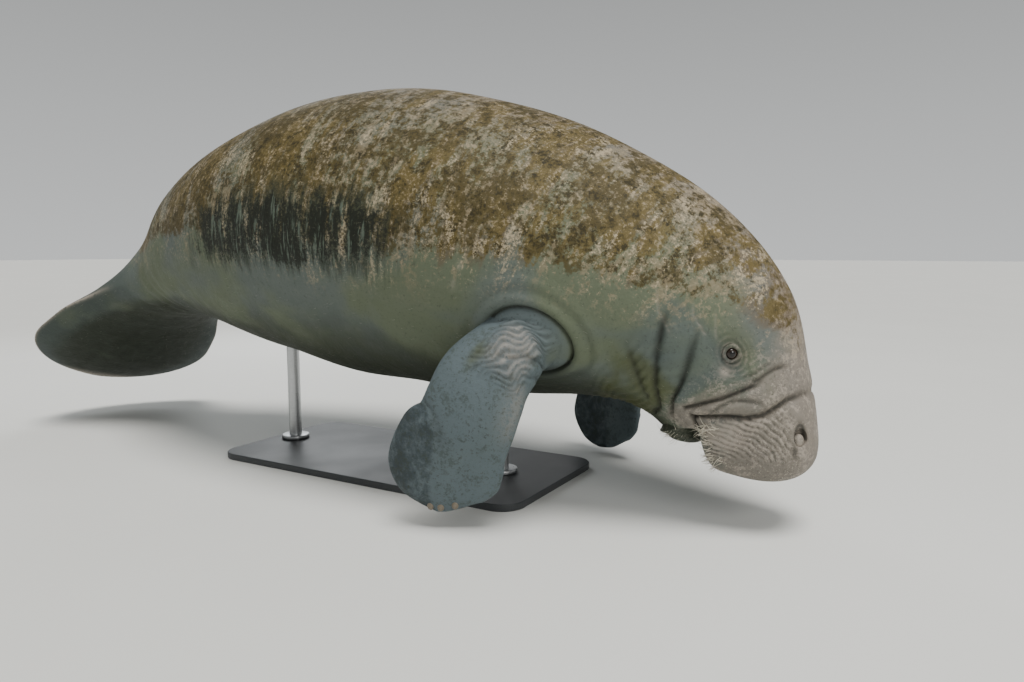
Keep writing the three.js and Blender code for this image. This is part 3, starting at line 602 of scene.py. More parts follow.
def flipper_values(t, angle):
    """The same values on a flipper: pale ridges with painted highlights at the elbow and leading edge,
    painted shade in its creases and on its underside, and painted shadow on the hand's rear lobe.
    """
    t, angle = np.broadcast_arrays(t, angle)
    degrees = np.degrees(angle) % 360
    _, crease, fine = flipper_relief(t, degrees)
    # Painted shade in the flipper's creases and in the hollows between its fine ridges.
    crease = np.maximum(crease, 0.45 * smoothstep(0.0001, 0.0009, -fine))
    cosine, sine = np.cos(angle), np.sin(angle)
    elbow = smoothstep(0.09, 0.16, t) * smoothstep(0.32, 0.23, t) * smoothstep(30, 60, degrees)
    elbow = elbow * smoothstep(115, 90, degrees)
    front = smoothstep(0.24, 0.32, t) * smoothstep(0.58, 0.45, t) * bump(degrees, 30, 20)
    # Painted shadow on the hand's rear lobe, which is turned away from the light.
    lobe_line = (0.48, 180), (0.52, 160), (0.535, 138), (0.585, 120), (0.632, 109), (0.7, 97), (1, 90)
    boundary = np.interp(t, *zip(*lobe_line))
    hand = smoothstep(0.48, 0.56, t) * smoothstep(boundary - 6, boundary + 10, degrees)
    hand = hand * smoothstep(300, 270, degrees)
    # Paler skin at the elbow and the leading edge, with painted highlights on the tops of its fine
    # ridges.
    pale = np.maximum(0.8 * elbow, front) * (0.2 + 0.45 * smoothstep(0.0002, 0.0018, fine))
    zero = np.zeros(t.shape)
    limb = 0.7 + 0.3 * smoothstep(0.05, 0.2, t)
    # An ochre patch on the arm, which shares its layer with the throat's painted glow.
    ochre = bump(t, 0.27, 0.09) * bump(degrees, 112, 16)
    # Painted shade on the flipper's underside.
    belly = 0.35 * smoothstep(180, 230, degrees) * smoothstep(350, 320, degrees)
    return np.stack(
        [t * FLIPPER_LENGTH, FLIPPER_LIE * sine, FLIPPER_LIE * cosine]
        + [zero, zero, zero, belly, zero, zero, crease, pale, limb, zero, ochre, hand],
        -1,
    )


# Meshes


def deselect():
    bpy.ops.object.select_all(action="DESELECT")


def only(piece):
    deselect()
    piece.select_set(True)
    bpy.context.view_layer.objects.active = piece


def close_and_turn_out(piece, gap=1e-6):
    only(piece)
    bpy.ops.object.mode_set(mode="EDIT")
    bpy.ops.mesh.select_all(action="SELECT")
    bpy.ops.mesh.remove_doubles(threshold=gap)
    bpy.ops.mesh.normals_make_consistent(inside=False)
    bpy.ops.object.mode_set(mode="OBJECT")


def read(items, name, width=3):
    """One value of all items, such as the places of all points, as rows."""
    flat = np.empty(len(items) * width)
    items.foreach_get(name, flat)
    return flat.reshape(-1, width)


def flat_sheet(name, rows, cols):
    """A flat sheet of rows by cols points, one unit each way."""
    deselect()
    bpy.ops.mesh.primitive_grid_add(
        x_subdivisions=rows - 1, y_subdivisions=cols - 1, size=1, calc_uvs=True
    )
    piece = bpy.context.object
    piece.name = piece.data.name = name
    return piece


def divide_where(piece, chosen):
    """Divides the faces of a flat sheet whose middles are chosen."""
    only(piece)
    middles = read(piece.data.polygons, "center")
    for items in (piece.data.vertices, piece.data.edges):
        items.foreach_set("select", np.zeros(len(items), bool))
    piece.data.polygons.foreach_set("select", chosen(middles[:, 0] + 0.5, middles[:, 1] + 0.5))
    bpy.context.tool_settings.mesh_select_mode = (False, False, True)
    bpy.ops.object.mode_set(mode="EDIT")
    bpy.ops.mesh.subdivide(number_cuts=1)
    bpy.ops.object.mode_set(mode="OBJECT")


def wrap(piece, place, ends=False):
    """Wraps a flat sheet to place(across, along), closed along its long edges, and closes open ends."""
    flat = read(piece.data.vertices, "co")
    places = place(np.clip(flat[:, 0] + 0.5, 0, 1), np.clip(flat[:, 1] + 0.5, 0, 1))
    piece.data.vertices.foreach_set("co", places.ravel())
    close_and_turn_out(piece)
    if ends:
        only(piece)
        bpy.ops.object.mode_set(mode="EDIT")
        bpy.ops.mesh.select_mode(type="EDGE")
        bpy.ops.mesh.select_all(action="DESELECT")
        bpy.ops.mesh.select_non_manifold()
        bpy.ops.mesh.fill_holes(sides=0)
        bpy.ops.object.mode_set(mode="OBJECT")
        close_and_turn_out(piece)
    return piece


def join_solid(piece, tool, operation="UNION"):
    """Joins a closed tool to a closed piece, or cuts it away, and removes the tool."""
    only(piece)
    cut = piece.modifiers.new("join", "BOOLEAN")
    cut.object = tool
    cut.operation = operation
    cut.solver = "MANIFOLD"
    bpy.ops.object.modifier_apply(modifier=cut.name)
    bpy.data.objects.remove(tool)


def ball(name, point, ways, sizes, segments=32, rings=20):
    deselect()
    bpy.ops.mesh.primitive_uv_sphere_add(segments=segments, ring_count=rings, radius=1)
    piece = bpy.context.object
    piece.name = piece.data.name = name
    basis = Matrix([[*(np.array(way) * size)] for way, size in zip(ways, sizes)]).transposed().to_4x4()
    piece.data.transform(Matrix.Translation(Vector(point)) @ basis)
    close_and_turn_out(piece)
    return piece


def ring_of_skin(name, point, ways, radius, thick):
    deselect()
    bpy.ops.mesh.primitive_torus_add(
        major_radius=radius, minor_radius=thick, major_segments=40, minor_segments=14
    )
    piece = bpy.context.object
    piece.name = piece.data.name = name
    basis = Matrix([[*way] for way in ways]).transposed().to_4x4()
    piece.data.transform(Matrix.Translation(Vector(point)) @ basis)
    close_and_turn_out(piece)
    return piece


def skin_rows():
    """Places of the skin's rings: close over the snout and face, wider apart on the trunk."""
    fullness = np.linspace(0, 0.93, 13)
    start = SNOUT_ROUNDING[0] * (1 - (1 - fullness ** SNOUT_ROUNDING[1]) ** (1 / SNOUT_ROUNDING[1]))
    runs = [start]
    here = start[-1]
    for stop, step in ((0.46, 0.0085), (0.72, 0.0125), (2.2, 0.0165), (2.56, 0.015)):
        count = max(1, round((stop - here) / step))
        runs.append(np.linspace(here, stop, count + 1)[1:])
        here = stop
    turns = np.linspace(0, math.pi / 2, 19)[1:]
    runs.append(here + (SPINE_LENGTH - here) * np.sin(turns))
    return np.concatenate(runs)


SKIN_S = skin_rows()
SKIN_COLS = 121


def sheet_places(across, along):
    """s and b of a flat sheet's places."""
    s = np.interp(across * (len(SKIN_S) - 1), np.arange(len(SKIN_S)), SKIN_S)
    return s, along * 360 - 180


SHEETS = []


def keep_values(points, values):
    SHEETS.append((points.reshape(-1, 3), values.reshape(-1, VALUE_COUNT)))


def make_body_sheet():
    skin = flat_sheet("manatee_skin", len(SKIN_S), SKIN_COLS)

    def head_and_shoulder(across, along):
        s, b = sheet_places(across, along)
        return ((s < 0.40) & (np.abs(b) < 150)) | (shoulder_reach(s, b) < 1.8)

    def face_crease_and_scars(across, along):
        s, b = sheet_places(across, along)
        side, reach = np.abs(b), shoulder_reach(s, b)
        face = (s > 0.012) & (s < 0.245) & (side > 12) & (side < 112)
        scarred = np.zeros(s.shape, bool)
        for row in SCARS.values():
            offset, _ = line_offset(s, b, girth_degree(s), row[5])
            scarred |= np.abs(offset) < 0.024
        return face | ((reach > 0.82) & (reach < 1.1)) | scarred

    divide_where(skin, head_and_shoulder)
    divide_where(skin, face_crease_and_scars)

    def place(across, along):
        s, b = sheet_places(across, along)
        places = skin_place(s, b)
        for pole in (across < 0.0001, across > 0.9999):
            places[pole] = places[pole].mean(0)
        keep_values(places, body_values(s, b))
        return places

    return wrap(skin, place)


def make_jaw():
    jaw = flat_sheet("lower_jaw_form", 33, 73)

    def place(across, along):
        tip = JAW_SECTIONS[0][0] * MM
        s, angle = JAW_REAR + (tip - JAW_REAR) * across, along * 360 - 180
        places = jaw_place(s, angle)
        places[across > 0.9999] = places[across > 0.9999].mean(0)
        # The lower jaw takes the belly's values: painted shade under the head.
        chin_in_shade = np.sign(angle) * np.maximum(np.abs(angle), 136)
        keep_values(places, body_values(np.maximum(s, 0.16), chin_in_shade))
        return places

    return wrap(jaw, place, ends=True)


def make_flipper(side):
    line, surface = flipper_form(side)
    flipper = flat_sheet("flipper_form", 92, 64)

    def place_of(across, along):
        near, tip = across / 0.75, (across - 0.75) / 0.25
        t = np.where(across < 0.75, 0.8 * near, 0.8 + 0.2 * np.sin(np.clip(tip, 0, 1) * math.pi / 2))
        return t, along * 2 * math.pi

    def elbow(across, along):
        t, angle = place_of(across, along)
        degrees = np.degrees(angle)
        return (t > 0.02) & (t < 0.38) & (degrees > 4) & (degrees < 160)

    divide_where(flipper, elbow)

    def place(across, along):
        t, angle = place_of(across, along)
        places = surface(t, angle)
        places[across > 0.9999] = places[across > 0.9999].mean(0)
        keep_values(places, flipper_values(t, angle))
        return places

    return wrap(flipper, place, ends=True)


def eye_place(side):
    """Centre of an eye, with the ways back along the head, round it and out."""
    low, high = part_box("eye_right" if side > 0 else "eye_left")
    _, back, turn, out = skin_ways(EYE["s"], side * EYE["b"])
    return (np.array(low) + np.array(high)) / 2, back, turn, out


def make_skin():
    """One closed skin: the body with its jaw, flippers, nostrils, eye sockets and lids."""
    skin = make_body_sheet()
    join_solid(skin, make_jaw())
    for side in (1, -1):
        join_solid(skin, make_flipper(side))
    cleft_place = in_section(np.array(LIP_CLEFT["s"]), np.array(0.0), np.array(LIP_CLEFT["v"]))
    _, ahead, right, up = frames(np.array(LIP_CLEFT["s"]))
    join_solid(skin, ball("cleft", cleft_place, (right, up, ahead), LIP_CLEFT["size"]), "DIFFERENCE")
    for side in (1, -1):
        point, back, turn, out = skin_ways(NOSTRIL["s"], side * NOSTRIL["b"])
        join_solid(skin, ball("pit", point, (back, turn, out), NOSTRIL["size"]), "DIFFERENCE")
        valve = point - back * NOSTRIL_VALVE["shift"] + out * (0.001 - NOSTRIL_VALVE["size"][2])
        join_solid(skin, ball("valve", valve, (back, turn, out), NOSTRIL_VALVE["size"]))
        centre, back, turn, out = eye_place(side)
        rim = centre + out * (EYE["sunk"] - LID["thick"] / 2)
        join_solid(skin, ring_of_skin("lid", rim, (back, turn, out), LID["radius"], LID["thick"]))
        socket = EYE["radius"] + 0.0004
        join_solid(skin, ball("socket", centre, (back, turn, out), [socket] * 3, 40, 24), "DIFFERENCE")
    return skin


def lay_values(piece, points):
    """Values for each point of the skin, from the nearest point of its sheets, a little blurred."""
    known = np.concatenate([sheet[0] for sheet in SHEETS])
    values = np.concatenate([sheet[1] for sheet in SHEETS])
    tree = kdtree.KDTree(len(known))
    for i, point in enumerate(known):
        tree.insert(point, i)
    tree.balance()
    nearest = values[[tree.find(point)[1] for point in points]]
    pairs = read(piece.data.edges, "vertices", 2).astype(int)
    ends = np.concatenate([pairs, pairs[:, ::-1]])
    count = np.bincount(ends[:, 0], minlength=len(points))[:, None]
    summed = np.zeros((len(points), VALUE_COUNT - 3))
    np.add.at(summed, ends[:, 0], nearest[ends[:, 1], 3:])
    nearest[:, 3:] = 0.5 * nearest[:, 3:] + 0.5 * summed / count
    return nearest


def store_values(piece, places, values):
    """Puts places and marking values on a piece's points, for its material to read."""
    columns = {"place": places}
    columns.update({name: values[:, 3 * i : 3 * i + 3] for i, name in enumerate(VALUE_NAMES)})
    for name, rows in columns.items():
        attribute = piece.data.attributes.new(name, "FLOAT_VECTOR", "POINT")
        attribute.data.foreach_set("vector", np.ascontiguousarray(rows, dtype=np.float32).ravel())


def make_eye(side):
    name = "eyeball_right" if side > 0 else "eyeball_left"
    centre, back, turn, out = eye_place(side)
    eye = ball(name, centre, (back, turn, out), [EYE["radius"]] * 3, 48, 32)
    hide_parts("eye_right" if side > 0 else "eye_left")
    return eye


def make_nails(side):
    line, surface = flipper_form(side)
    word = "right" if side > 0 else "left"
    nails = []
    for i, (along, across) in enumerate(NAILS):
        angle = math.acos(across)
        place = surface(along, angle)
        to_tip = line(along + 0.002) - line(along - 0.002)
        turn = surface(along, angle - 0.1) - surface(along, angle + 0.1)
        out = unit(np.cross(turn, to_tip))
        if out @ (place - line(along)) < 0:
            out = -out
        to_tip = unit(to_tip - out * (to_tip @ out))
        ways = (to_tip, np.cross(out, to_tip), out)
        nail = ball(f"nail_{word}_plate_{i + 1}", place, ways, NAIL)
        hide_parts(f"nail_{word}_{i + 1}")
        nails.append(nail)
    return nails


def make_rod(name, x, node):
    """A round steel rod with a turned collar on the base."""
    low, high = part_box(node)
    deselect()
    long = high[2] - low[2] - 0.004
    bpy.ops.mesh.primitive_cylinder_add(vertices=64, radius=ROD["radius"], depth=long)
    rod = bpy.context.object
    rod.name = rod.data.name = name
    rod.data.transform(Matrix.Translation((x, 0, (low[2] + high[2]) / 2)))
    deselect()
    bpy.ops.mesh.primitive_cylinder_add(vertices=64, radius=ROD["collar"], depth=ROD["collar_high"])
    collar = bpy.context.object
    collar.data.transform(Matrix.Translation((x, 0, low[2] + ROD["collar_high"] / 2)))
    only(collar)
    bevel = collar.modifiers.new("turned edge", "BEVEL")
    bevel.width = 0.003
    bevel.segments = 4
    bpy.ops.object.modifier_apply(modifier=bevel.name)
    join_solid(rod, collar)
    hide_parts(node)
    return rod


# Bristles and body hairs: each is a thin, bent, closed cone with its root in the skin


def make_hairs(name, roots, values, places_on_map, shape, sides, rings):
    """roots are points, outward ways and ways to bend to; shape is lengths, radii and bends."""
    point, out, lean = roots
    length, radius, bend = (row[:, None, None] for row in shape)
    count = len(point)
    h = np.linspace(0, 1, rings + 1)[None, :, None]
    middle = point[:, None] - out[:, None] * 0.0015 + out[:, None] * length * h * (1 - 0.35 * bend * h)
    middle = middle + lean[:, None] * length * bend * h**2
    across = unit(np.cross(out, lean))[:, None, None]
    up = unit(out[:, None] + lean[:, None] * 1.6 * bend * h)[:, :, None]
    other = np.cross(up, across)
    angle = (np.arange(sides) * 2 * math.pi / sides)[None, None, :, None]
    thin = (radius * (1 - 0.88 * h))[..., None]
    rings_at = middle[:, :, None] + thin * (np.cos(angle) * across + np.sin(angle) * other)
    per = (rings + 1) * sides
    faces = []
    for r in range(rings):
        for k in range(sides):
            n = (k + 1) % sides
            faces.append((r * sides + k, r * sides + n, (r + 1) * sides + n, (r + 1) * sides + k))
    faces += [tuple(range(sides))[::-1], tuple(rings * sides + k for k in range(sides))]
    all_faces = [tuple(i + c * per for i in face) for c in range(count) for face in faces]
    mesh = bpy.data.meshes.new(name)
    mesh.from_pydata(rings_at.reshape(-1, 3), [], all_faces)
    piece = bpy.data.objects.new(name, mesh)
    bpy.context.collection.objects.link(piece)
    close_and_turn_out(piece, 1e-8)
    round_root = np.stack([np.cos(angle), np.sin(angle)], -1)[0, 0, :, 0]
    patch = 0.0015 * (1 - 0.9 * h[0, :, 0])[:, None, None] * round_root
    on_map = (places_on_map[:, None, None] + patch[None]).reshape(-1, 2)
    layer = mesh.uv_layers.new(name="OFBake")
    corners = np.empty(len(mesh.loops), int)
    mesh.loops.foreach_get("vertex_index", corners)
    layer.data.foreach_set("uv", on_map[corners].ravel())
    store_values(piece, np.repeat(point, per, 0), np.repeat(values, per, 0))
    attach(piece, "root")
    return piece


def on_map(s, b):
    """Places on the skin's own unwrap."""
    return np.stack([0.02 + 0.96 * s / SPINE_LENGTH, 0.02 + 0.96 * (b + 180) / 360], -1)


def scattered(count, s_range, side_range):
    """Even, slightly shaken places on both sides: s and b."""
    s = RNG.uniform(*s_range, count)
    side = RNG.uniform(*side_range, count)
    return s, side * np.where(np.arange(count) % 2, 1, -1)


def bristle_group(surface_ways, s, b, back, down, lengths, thickness, bend):
    """Roots, shapes, values and map places of bristles that lean back and down from their roots."""
    point, along, round_way, out = surface_ways(s, b)
    count = len(s)
    tilt = out + along * back + round_way * np.sign(b)[:, None] * down
    out = unit(tilt + RNG.normal(0, 0.16, (count, 3)))
    lean = unit(along * 0.8 + np.array([0, 0, -0.6]) + RNG.normal(0, 0.35, (count, 3)))
    lean = unit(lean - out * np.sum(lean * out, -1, keepdims=True))
    length = RNG.uniform(*lengths, count)
    shape = (length, thickness * RNG.uniform(0.8, 1.15, count), RNG.uniform(*bend, count))
    return (point, out, lean), shape, body_values(s, b), on_map(s, b)


def jaw_ways(s, angle):
    return ways_on(jaw_place, s, angle, (0.003, 2), jaw_middle)


# Bristles: surface, count, ranges of s and b, lean back and down, lengths, thickness and range of bends
BRISTLES = (
    (skin_ways, 96, (0.035, 0.128), (88, 99), 0.35, 0.55, (0.016, 0.036), 0.0008, (0.2, 0.6)),
    (skin_ways, 44, (0.10, 0.132), (86, 98), 0.8, 0.5, (0.024, 0.042), 0.0009, (0.2, 0.6)),
    (skin_ways, 420, (0.018, 0.112), (30, 88), 0.1, 0.2, (0.003, 0.007), 0.00035, (0.1, 0.4)),
    (skin_ways, 90, (0.012, 0.05), (92, 165), 0.2, 0.1, (0.008, 0.022), 0.0006, (0.1, 0.5)),
    (jaw_ways, 64, (0.058, 0.135), (70, 150), 0.5, 0.2, (0.008, 0.026), 0.0006, (0.1, 0.5)),
)


def make_bristles():
    groups = []
    for ways, count, s_range, side_range, *form in BRISTLES:
        s, b = scattered(count, s_range, side_range)
        groups.append(bristle_group(ways, s, b, *form))
    roots, shapes, values, places = zip(*groups)
    roots = [np.concatenate(rows) for rows in zip(*roots)]
    shape = [np.concatenate(rows) for rows in zip(*shapes)]
    return make_hairs("bristles", roots, np.concatenate(values), np.concatenate(places), shape, 5, 4)


def make_body_hairs():
    s = 0.17 + 2.45 * RNG.uniform(0, 1, 2200) ** 1.1
    b = RNG.uniform(-172, 172, len(s))
    clear = shoulder_reach(s, b) > 1.15
    s, b = s[clear], b[clear]
    point, along, _, out = skin_ways(s, b)
    out = unit(out + 0.9 * along + RNG.normal(0, 0.2, out.shape))
    lean = unit(along - out * np.sum(along * out, -1, keepdims=True))
    count = len(s)
    shape = (RNG.uniform(0.006, 0.013, count), np.full(count, 0.00022), RNG.uniform(0.2, 0.7, count))
    return make_hairs("body_hairs", (point, out, lean), body_values(s, b), on_map(s, b), shape, 3, 3)


# Materials


def linear(code):
    """A linear colour from an sRGB hex value."""
    parts = [int(code[i : i + 2], 16) / 255 for i in (1, 3, 5)]
    return (*(c / 12.92 if c <= 0.04045 else ((c + 0.055) / 1.055) ** 2.4 for c in parts), 1.0)


def add(tree, kind, inputs=(), **settings):
    """Adds a node with its settings, and sets or links its inputs by name or place."""
    made = tree.nodes.new(kind)
    for key, value in settings.items():
        setattr(made, key, value)
    for key, value in dict(inputs).items():
        socket = made.inputs[key]
        if isinstance(value, bpy.types.NodeSocket):
            tree.links.new(value, socket)
        else:
            socket.default_value = value
    return made


def new_material(name, roughness, **sockets):
    """A material with its shader's own values set, and its tree and shader."""
    made = bpy.data.materials.new(name)
    made.use_nodes = True
    shader = made.node_tree.nodes["Principled BSDF"]
    shader.inputs["Roughness"].default_value = roughness
    for key, value in sockets.items():
        shader.inputs[key.replace("_", " ")].default_value = value
    return made, made.node_tree, shader


# Patterns of the skin: source, grain in mm along and round the body, detail, roughness, distortion
SKIN_PATTERNS = {
    "clouds": ("place", (300, 300), 3, 0.55, 0.3),
    "patches": ("place", (130, 130), 6, 0.66, 0.4),
    "mottle": ("place", (40, 40), 6, 0.72, 0.3),
    "flecks": ("place", (16, 16), 5, 0.78, 0.1),
    "crumbs": ("place", (7, 7), 3, 0.8, 0),
    "streaks": ("lie", (24, 110), 6, 0.72, 0.2),
    "drips": ("lie", (12, 75), 5, 0.70, 0.3),
    "hoops": ("lie", (75, 300), 5, 0.64, 0.4),
}
# Means of three patterns: large clumps that break up into fine grains
SKIN_BLENDS = {
    "growth": ("patches", "mottle", "flecks"),
    "bands": ("hoops", "streaks", "flecks"),
    "grain": ("mottle", "flecks", "crumbs"),
    "ragged": ("patches", "streaks", "crumbs"),
}

# Layers of the skin's paint, one over the other: pattern, mask, hex colour, strength, and the pattern's
# values between which the layer comes in. Where the mask is less than 1 the pattern has to be stronger
# for the layer to show, by MASK_PULL for a mask of 0, which makes the layer's edge ragged. Where the
# first value is the higher one, the layer lies in the pattern's hollows and is only scaled by its mask,
# as the pale marks with their painted highlights are.
MASK_PULL = 0.5
SKIN_LAYERS = (
    ("clouds", None, "#545d60", 0.6, 0.42, 0.60),
    # Lighter patches on the back: partly the hide's own tone, partly painted light from above.
    ("patches", "back", "#83786b", 0.85, 0.36, 0.58),
    ("clouds", "cheek", "#4d5756", 0.85, 0.2, 0.5),
    ("patches", "face", "#7a736a", 0.85, 0.25, 0.5),
    ("clouds", "limb", "#546065", 0.9, 0.15, 0.4),
    ("clouds", "tail", "#38413f", 0.9, 0.15, 0.4),
    # The dark belly: partly the hide's own tone, partly painted shade.
    ("clouds", "belly", "#282d22", 0.92, 0.12, 0.35),
    # Painted olive glow of light on the throat, and an ochre patch on each flipper.
    ("patches", "glow", "#474b29", 0.7, 0.25, 0.55),
    ("hoops", "algae", "#5c4f3e", 0.75, 0.42, 0.56),
    ("bands", "algae", "#5d5025", 0.85, 0.46, 0.52),
    ("growth", "algae", "#453c1d", 0.88, 0.475, 0.53),
    ("grain", "algae", "#262210", 0.8, 0.52, 0.57),
    ("bands", "algae", "#85785f", 0.55, 0.475, 0.43),
    ("grain", "algae", "#9a8c72", 0.6, 0.47, 0.42),
    ("ragged", "algae", "#b6a88c", 0.6, 0.455, 0.41),
    ("streaks", "green", "#2c3226", 0.85, 0.32, 0.52),
    ("ragged", "green", "#14180f", 0.95, 0.44, 0.51),
    ("drips", "green", "#5f6b5f", 0.7, 0.53, 0.62),
    # Painted shadow on the hand's rear lobe.
    ("mottle", "hand", "#2a3337", 0.85, 0.3, 0.6),
    ("grain", "limb", "#3a4239", 0.45, 0.50, 0.56),
    ("grain", "face", "#a0978b", 0.6, 0.50, 0.44),
    # Pale scars and marks, with painted highlights on the wrinkles' ridges.
    ("grain", "pale", "#b9aea1", 0.85, 0.40, 0.50),
    ("crumbs", None, "#2b2d28", 0.45, 0.56, 0.70),
)


def skin_colour(tree):
    """The skin's paint, with painted shade and painted highlights among its layers: its colour, and the
    patterns and sources it is made from.
    """
    sources, shares = {}, {}
    for name in ("place", *VALUE_NAMES):
        sources[name] = add(tree, "ShaderNodeAttribute", attribute_name=name).outputs["Vector"]
    for name, words in SHARES.items():
        parts = add(tree, "ShaderNodeSeparateXYZ", {0: sources[name]})
        shares.update(zip(words, parts.outputs))
    patterns = {}
    for name, (source, (along, around), detail, rough, distortion) in SKIN_PATTERNS.items():
        grain = (1 / (along * MM), 1 / (around * MM), 1 / (around * MM))
        scaled = add(tree, "ShaderNodeVectorMath", {0: sources[source], 1: grain}, operation="MULTIPLY")
        inputs = {"Vector": scaled.outputs[0], "Scale": 1.0}
        inputs.update({"Detail": detail, "Roughness": rough, "Distortion": distortion})
        patterns[name] = add(tree, "ShaderNodeTexNoise", inputs).outputs["Fac"]
    for name, parts in SKIN_BLENDS.items():
        first, second, third = (patterns[part] for part in parts)
        both = add(tree, "ShaderNodeMath", {0: first, 1: second}, operation="ADD")
        total = add(tree, "ShaderNodeMath", {0: both.outputs[0], 1: third}, operation="ADD")
        mean = add(tree, "ShaderNodeMath", {0: total.outputs[0], 1: 3.0}, operation="DIVIDE")
        patterns[name] = mean.outputs[0]
    # Base colour, lighter on the back: partly the hide's own tone, partly painted light from above.
    inputs = {0: shares["back"], 6: linear("#5a624f"), 7: linear("#7b7265")}
    colour = add(tree, "ShaderNodeMix", inputs, data_type="RGBA").outputs[2]
    for pattern, mask, code, strength, low, high in SKIN_LAYERS:
        value = patterns[pattern]
        if mask and mask != "pale" and low < high:
            inputs = {0: shares[mask], 1: MASK_PULL, 2: value}
            value = add(tree, "ShaderNodeMath", inputs, operation="MULTIPLY_ADD").outputs[0]
            low, high = low + MASK_PULL, high + MASK_PULL
        inputs = {"Value": value, "From Min": low, "From Max": high, "To Max": strength}
        fade = add(tree, "ShaderNodeMapRange", inputs, interpolation_type="SMOOTHSTEP").outputs[0]
        if mask:
            scaled = add(tree, "ShaderNodeMath", {0: fade, 1: shares[mask]}, operation="MULTIPLY")
            fade = scaled.outputs[0]
        inputs = {0: fade, 6: colour, 7: linear(code)}
        colour = add(tree, "ShaderNodeMix", inputs, data_type="RGBA").outputs[2]
    # Painted shade: the skin is darkened almost to black in its creases, round the eyes and in the
    # nostrils.
    inputs = {0: shares["crease"], 1: 0.9}
    painted_shade = add(tree, "ShaderNodeMath", inputs, operation="MULTIPLY", use_clamp=True)
    inputs = {0: painted_shade.outputs[0], 6: colour, 7: linear("#1d1e19")}
    return add(tree, "ShaderNodeMix", inputs, data_type="RGBA").outputs[2], patterns, sources


def hide_material():
    """Cast silicone, hand painted: a matt, finely wrinkled hide with mottled growth on the back."""
    made, tree, shader = new_material("painted_silicone_hide", 0.68, IOR=1.42, Specular_IOR_Level=0.4)
    colour, patterns, sources = skin_colour(tree)
    tree.links.new(colour, shader.inputs["Base Color"])
    inputs = {"Value": patterns["mottle"], "From Min": 0.3, "From Max": 0.7}
    inputs.update({"To Min": 0.56, "To Max": 0.8})
    tree.links.new(add(tree, "ShaderNodeMapRange", inputs).outputs[0], shader.inputs["Roughness"])
    # Heights in mm: pebbled grain of 4 mm, cells of 11 mm and fine hoops across the body
    amounts = {"crumbs": 1.1, "flecks": 1.3, "mottle": 1.6, "drips": 1.4}
    heights = [(patterns[name], height) for name, height in amounts.items()]
    inputs = {"Vector": sources["place"], "Scale": 1 / (11 * MM)}
    cells = add(tree, "ShaderNodeTexVoronoi", inputs, feature="F1")
    heights.append((cells.outputs["Distance"], -0.7))
    total = None
    for value, height in heights:
        inputs = {0: value, 1: height, 2: 0.0 if total is None else total}
        total = add(tree, "ShaderNodeMath", inputs, operation="MULTIPLY_ADD").outputs[0]
    relief = add(tree, "ShaderNodeBump", {"Height": total, "Strength": 0.75, "Distance": MM})
    tree.links.new(relief.outputs[0], shader.inputs["Normal"])
    return made


def bristle_material(name, share):
    """Nylon bristle: pale and slightly glossy, tinted by the skin at its root."""
    made, tree, shader = new_material(name, 0.42, IOR=1.5)
    colour, *_ = skin_colour(tree)
    inputs = {0: share, 6: colour, 7: linear("#dcd5c2")}
    tinted = add(tree, "ShaderNodeMix", inputs, data_type="RGBA")
    tree.links.new(tinted.outputs[2], shader.inputs["Base Color"])
    return made


def eye_material():
    """Cast resin eye: nearly black brown with a lighter iris ring under a polished, wet gloss."""
    gloss = {"IOR": 1.42, "Coat_Weight": 0.2, "Coat_Roughness": 0.08}
    made, tree, shader = new_material("polished_resin_eye", 0.16, **gloss)
    place = add(tree, "ShaderNodeUVMap", uv_map="UVMap")
    parts = add(tree, "ShaderNodeSeparateXYZ", {0: place.outputs[0]})
    ramp = add(tree, "ShaderNodeValToRGB", {0: parts.outputs["Y"]})
    stops = (
        (0.0, "#14110f"),
        (0.70, "#171311"),
        (0.76, "#2a1f17"),
        (0.86, "#20170f"),
        (0.885, "#050404"),
    )
    for i, (at, code) in enumerate(stops):
        stop = ramp.color_ramp.elements[i] if i < 2 else ramp.color_ramp.elements.new(at)
        stop.position, stop.color = at, linear(code)
    object_place = add(tree, "ShaderNodeTexCoord").outputs["Object"]
    inputs = {"Vector": object_place, "Scale": 1 / 0.0012, "Detail": 3.0}
    streaks = add(tree, "ShaderNodeTexNoise", inputs)
    inputs = {0: 0.25, 6: ramp.outputs[0], 7: streaks.outputs["Color"]}
    mixed = add(tree, "ShaderNodeMix", inputs, data_type="RGBA", blend_type="MULTIPLY")
    tree.links.new(mixed.outputs[2], shader.inputs["Base Color"])
    return made


def nail_material():
    """Tinted resin nail: horn with fine growth bands and a worn, satin face."""
    made, tree, shader = new_material("satin_resin_nail", 0.38, IOR=1.5)
    place = add(tree, "ShaderNodeTexCoord").outputs["Object"]
    inputs = {"Vector": place, "Scale": 1 / 0.002, "Detail": 4.0, "Distortion": 0.4}
    bands = add(tree, "ShaderNodeTexNoise", inputs)
    inputs = {0: bands.outputs["Fac"], 6: linear("#4b4439"), 7: linear("#857a68")}
    colour = add(tree, "ShaderNodeMix", inputs, data_type="RGBA")
    tree.links.new(colour.outputs[2], shader.inputs["Base Color"])
    inputs = {"Height": bands.outputs["Fac"], "Strength": 0.4, "Distance": 0.0004}
    relief = add(tree, "ShaderNodeBump", inputs)
    tree.links.new(relief.outputs[0], shader.inputs["Normal"])
    return made


